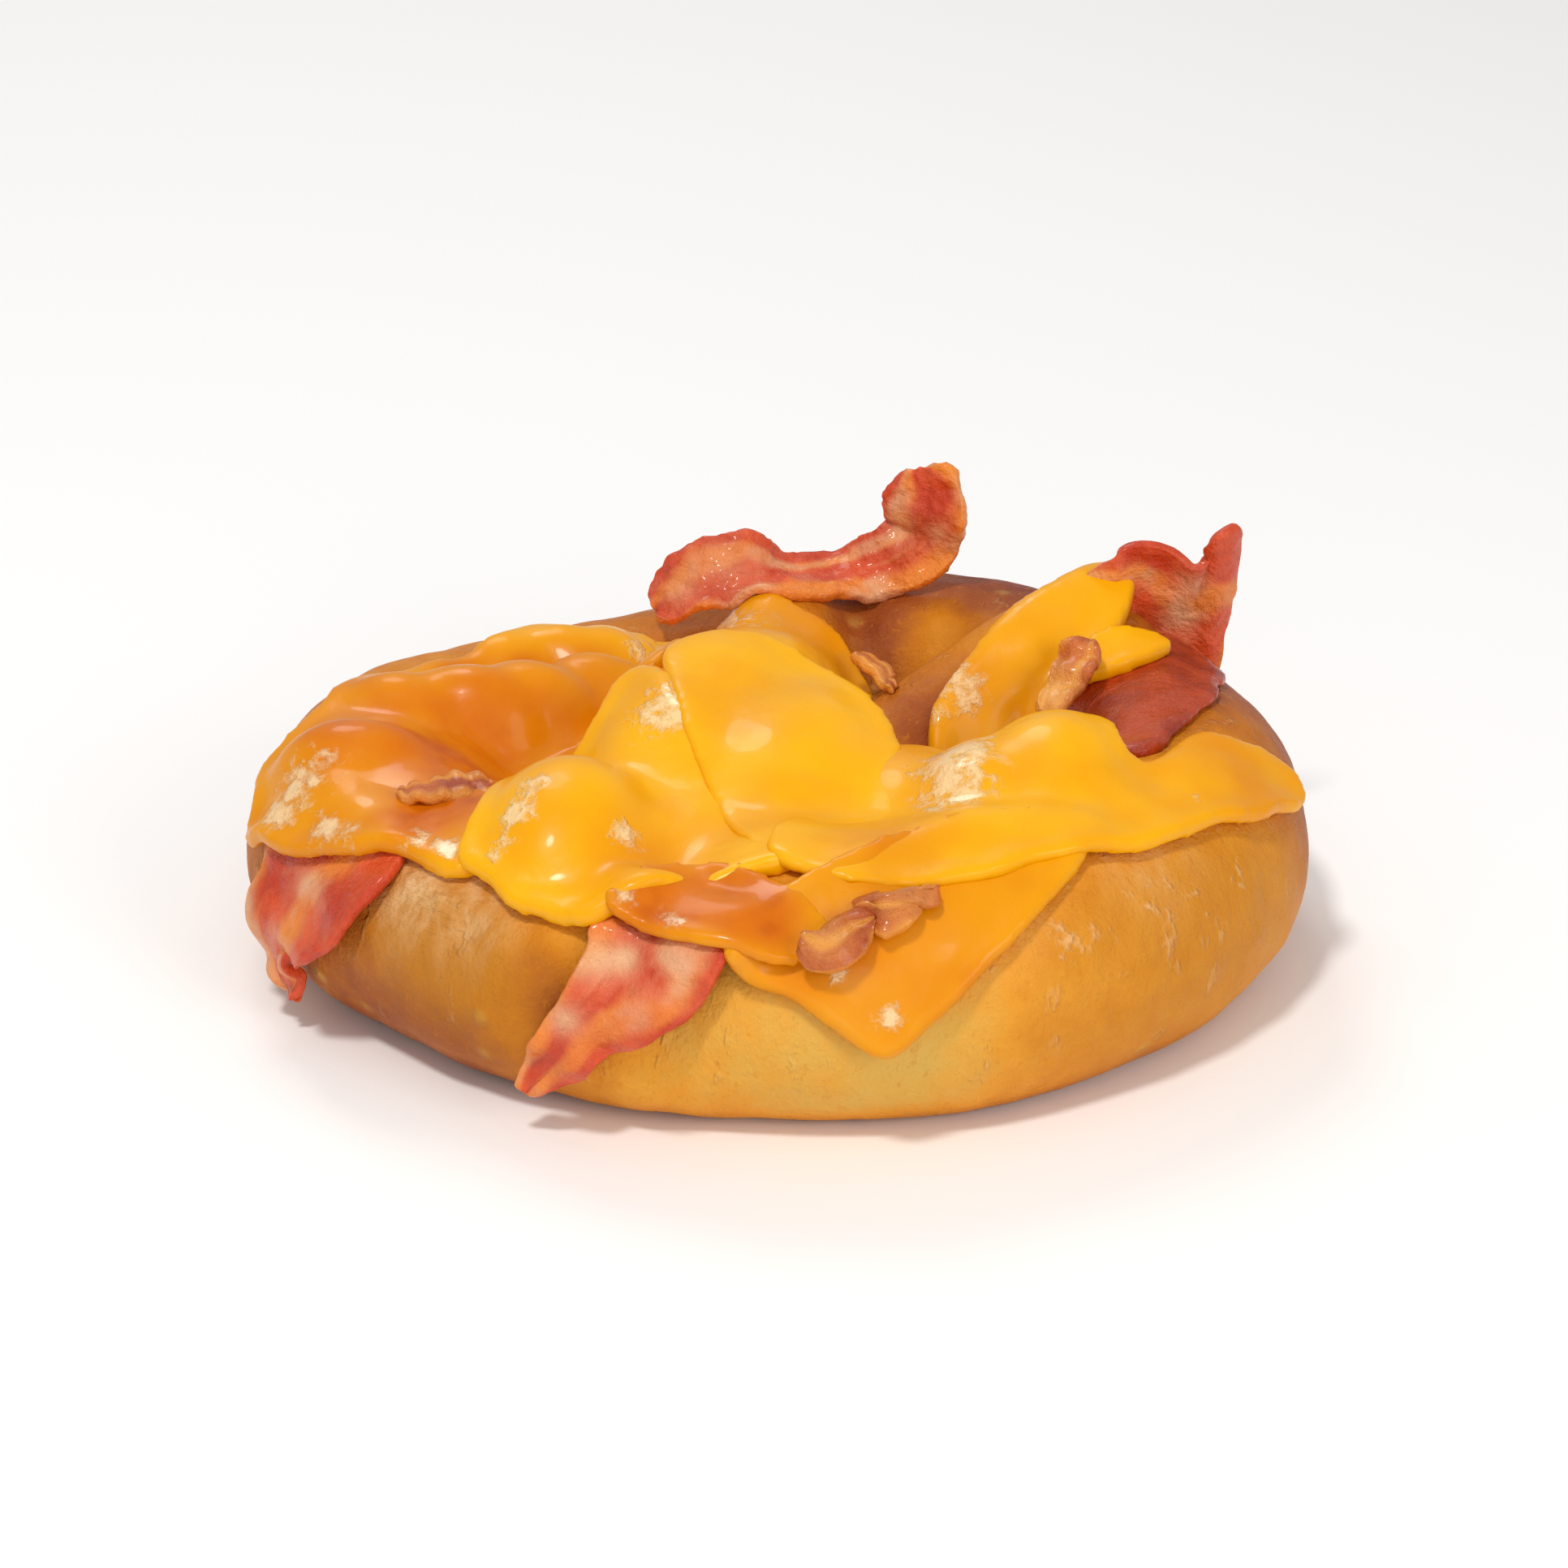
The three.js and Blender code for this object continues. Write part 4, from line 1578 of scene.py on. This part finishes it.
@dataclass(frozen=True)
class Studio:
    """The floor, the lamps and the camera."""

    target: Vector = field(default_factory=lambda: place(0, 0, 18))
    distance: float = 0.545  # in metres
    azimuth: float = 12.0  # in degrees, anticlockwise from the front
    elevation: float = 25.0  # in degrees
    lens: float = 95.0
    sensor: float = 36.0
    nearest: float = 0.01  # in metres
    floor_size: float = 4.0  # in metres
    pale: Colour = (0.97, 0.97, 0.97, 1.0)
    surroundings: float = 0.46  # the strength of the white light from all round
    lamps: Sequence[Lamp] = (
        Lamp("front", (0.25, -1.1, 0.35), 0.7, 1.3, (1.0, 0.98, 0.96)),
        Lamp("key", (-0.12, -0.42, 0.85), 0.13, 3.75, (1.0, 0.97, 0.93)),
        Lamp("fill", (0.75, -0.55, 0.45), 0.5, 2.4, (1.0, 0.98, 0.96)),
        Lamp("back", (-0.35, 0.6, 0.8), 0.4, 2.2, (1.0, 0.98, 0.95)),
    )

    def floor(self) -> bpy.types.Object:
        """Makes the pale floor.

        Returns:
            The floor.
        """
        bm = bmesh.new()
        bmesh.ops.create_grid(bm, x_segments=1, y_segments=1, size=self.floor_size)
        piece = new_object("floor", bm)
        s = Shader("pale_floor")
        piece.data.materials.append(s.finish(Base_Color=self.pale, Roughness=0.9, Specular_IOR_Level=0.1))
        return piece

    def lights(self) -> None:
        """Adds the lamps and the white light from all round."""
        for lamp in self.lamps:
            lamp.add(self.target)
        world = bpy.data.worlds.new("studio")
        world.use_nodes = True
        background = world.node_tree.nodes["Background"]
        background.inputs["Color"].default_value = (1.0, 1.0, 1.0, 1.0)
        background.inputs["Strength"].default_value = self.surroundings
        bpy.context.scene.world = world
        bpy.context.scene.view_settings.view_transform = "Standard"

    def camera(self) -> None:
        """Adds the camera."""
        a, e = math.radians(self.azimuth), math.radians(self.elevation)
        back = Vector((math.sin(a) * math.cos(e), -math.cos(a) * math.cos(e), math.sin(e)))
        data = bpy.data.cameras.new("camera")
        data.lens = self.lens
        data.sensor_width = self.sensor
        data.clip_start = self.nearest
        bpy.context.scene.camera = aim("camera", data, self.target + back * self.distance, -back)


# ---- the scene ------------------------------------------------------------------------------------


def hand_over(piece: bpy.types.Object, node: str) -> None:
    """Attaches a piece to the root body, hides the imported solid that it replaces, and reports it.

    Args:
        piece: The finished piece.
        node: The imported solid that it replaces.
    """
    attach(piece, "root")
    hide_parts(node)
    LOG.info("%s: %d faces", piece.name, len(piece.data.polygons))


def lay(
    topping: Slice | Strip, below: Below, material: bpy.types.Material, sink: float = 0.0
) -> None:
    """Builds a topping on what was laid before it, and hands it over.

    Args:
        topping: The slice or the strip.
        below: What it lands on. The new piece is added to it.
        material: Its finish.
        sink: How far later slices melt into it.
    """
    piece = topping.build(below, material)
    hand_over(piece, topping.node)
    below.add(piece, sink)


def main() -> None:
    """Builds the studio, the pretzel and its toppings."""
    logging.basicConfig(level=logging.INFO, format="%(message)s")
    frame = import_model()
    studio = Studio()
    studio.camera()
    studio.lights()
    studio.floor()

    below = Below()
    dough = Dough().build(frame["nodes"]["pretzel_bread"])
    hand_over(dough, "pretzel_bread")
    below.add(dough)

    cheese = Cheese().material()
    bacon = {cooked: cooked.value.material() for cooked in Cooked}
    toppings = Toppings()
    for strip in toppings.tucked:
        lay(strip, below, bacon[strip.cooked])
    lay(toppings.sheet, below, bacon[Cooked.DARK_SHADED])
    for melted in toppings.slices:
        lay(melted, below, cheese, toppings.sink)
    for strip in toppings.loose:
        lay(strip, below, bacon[strip.cooked])


if __name__ == "__main__":
    main()
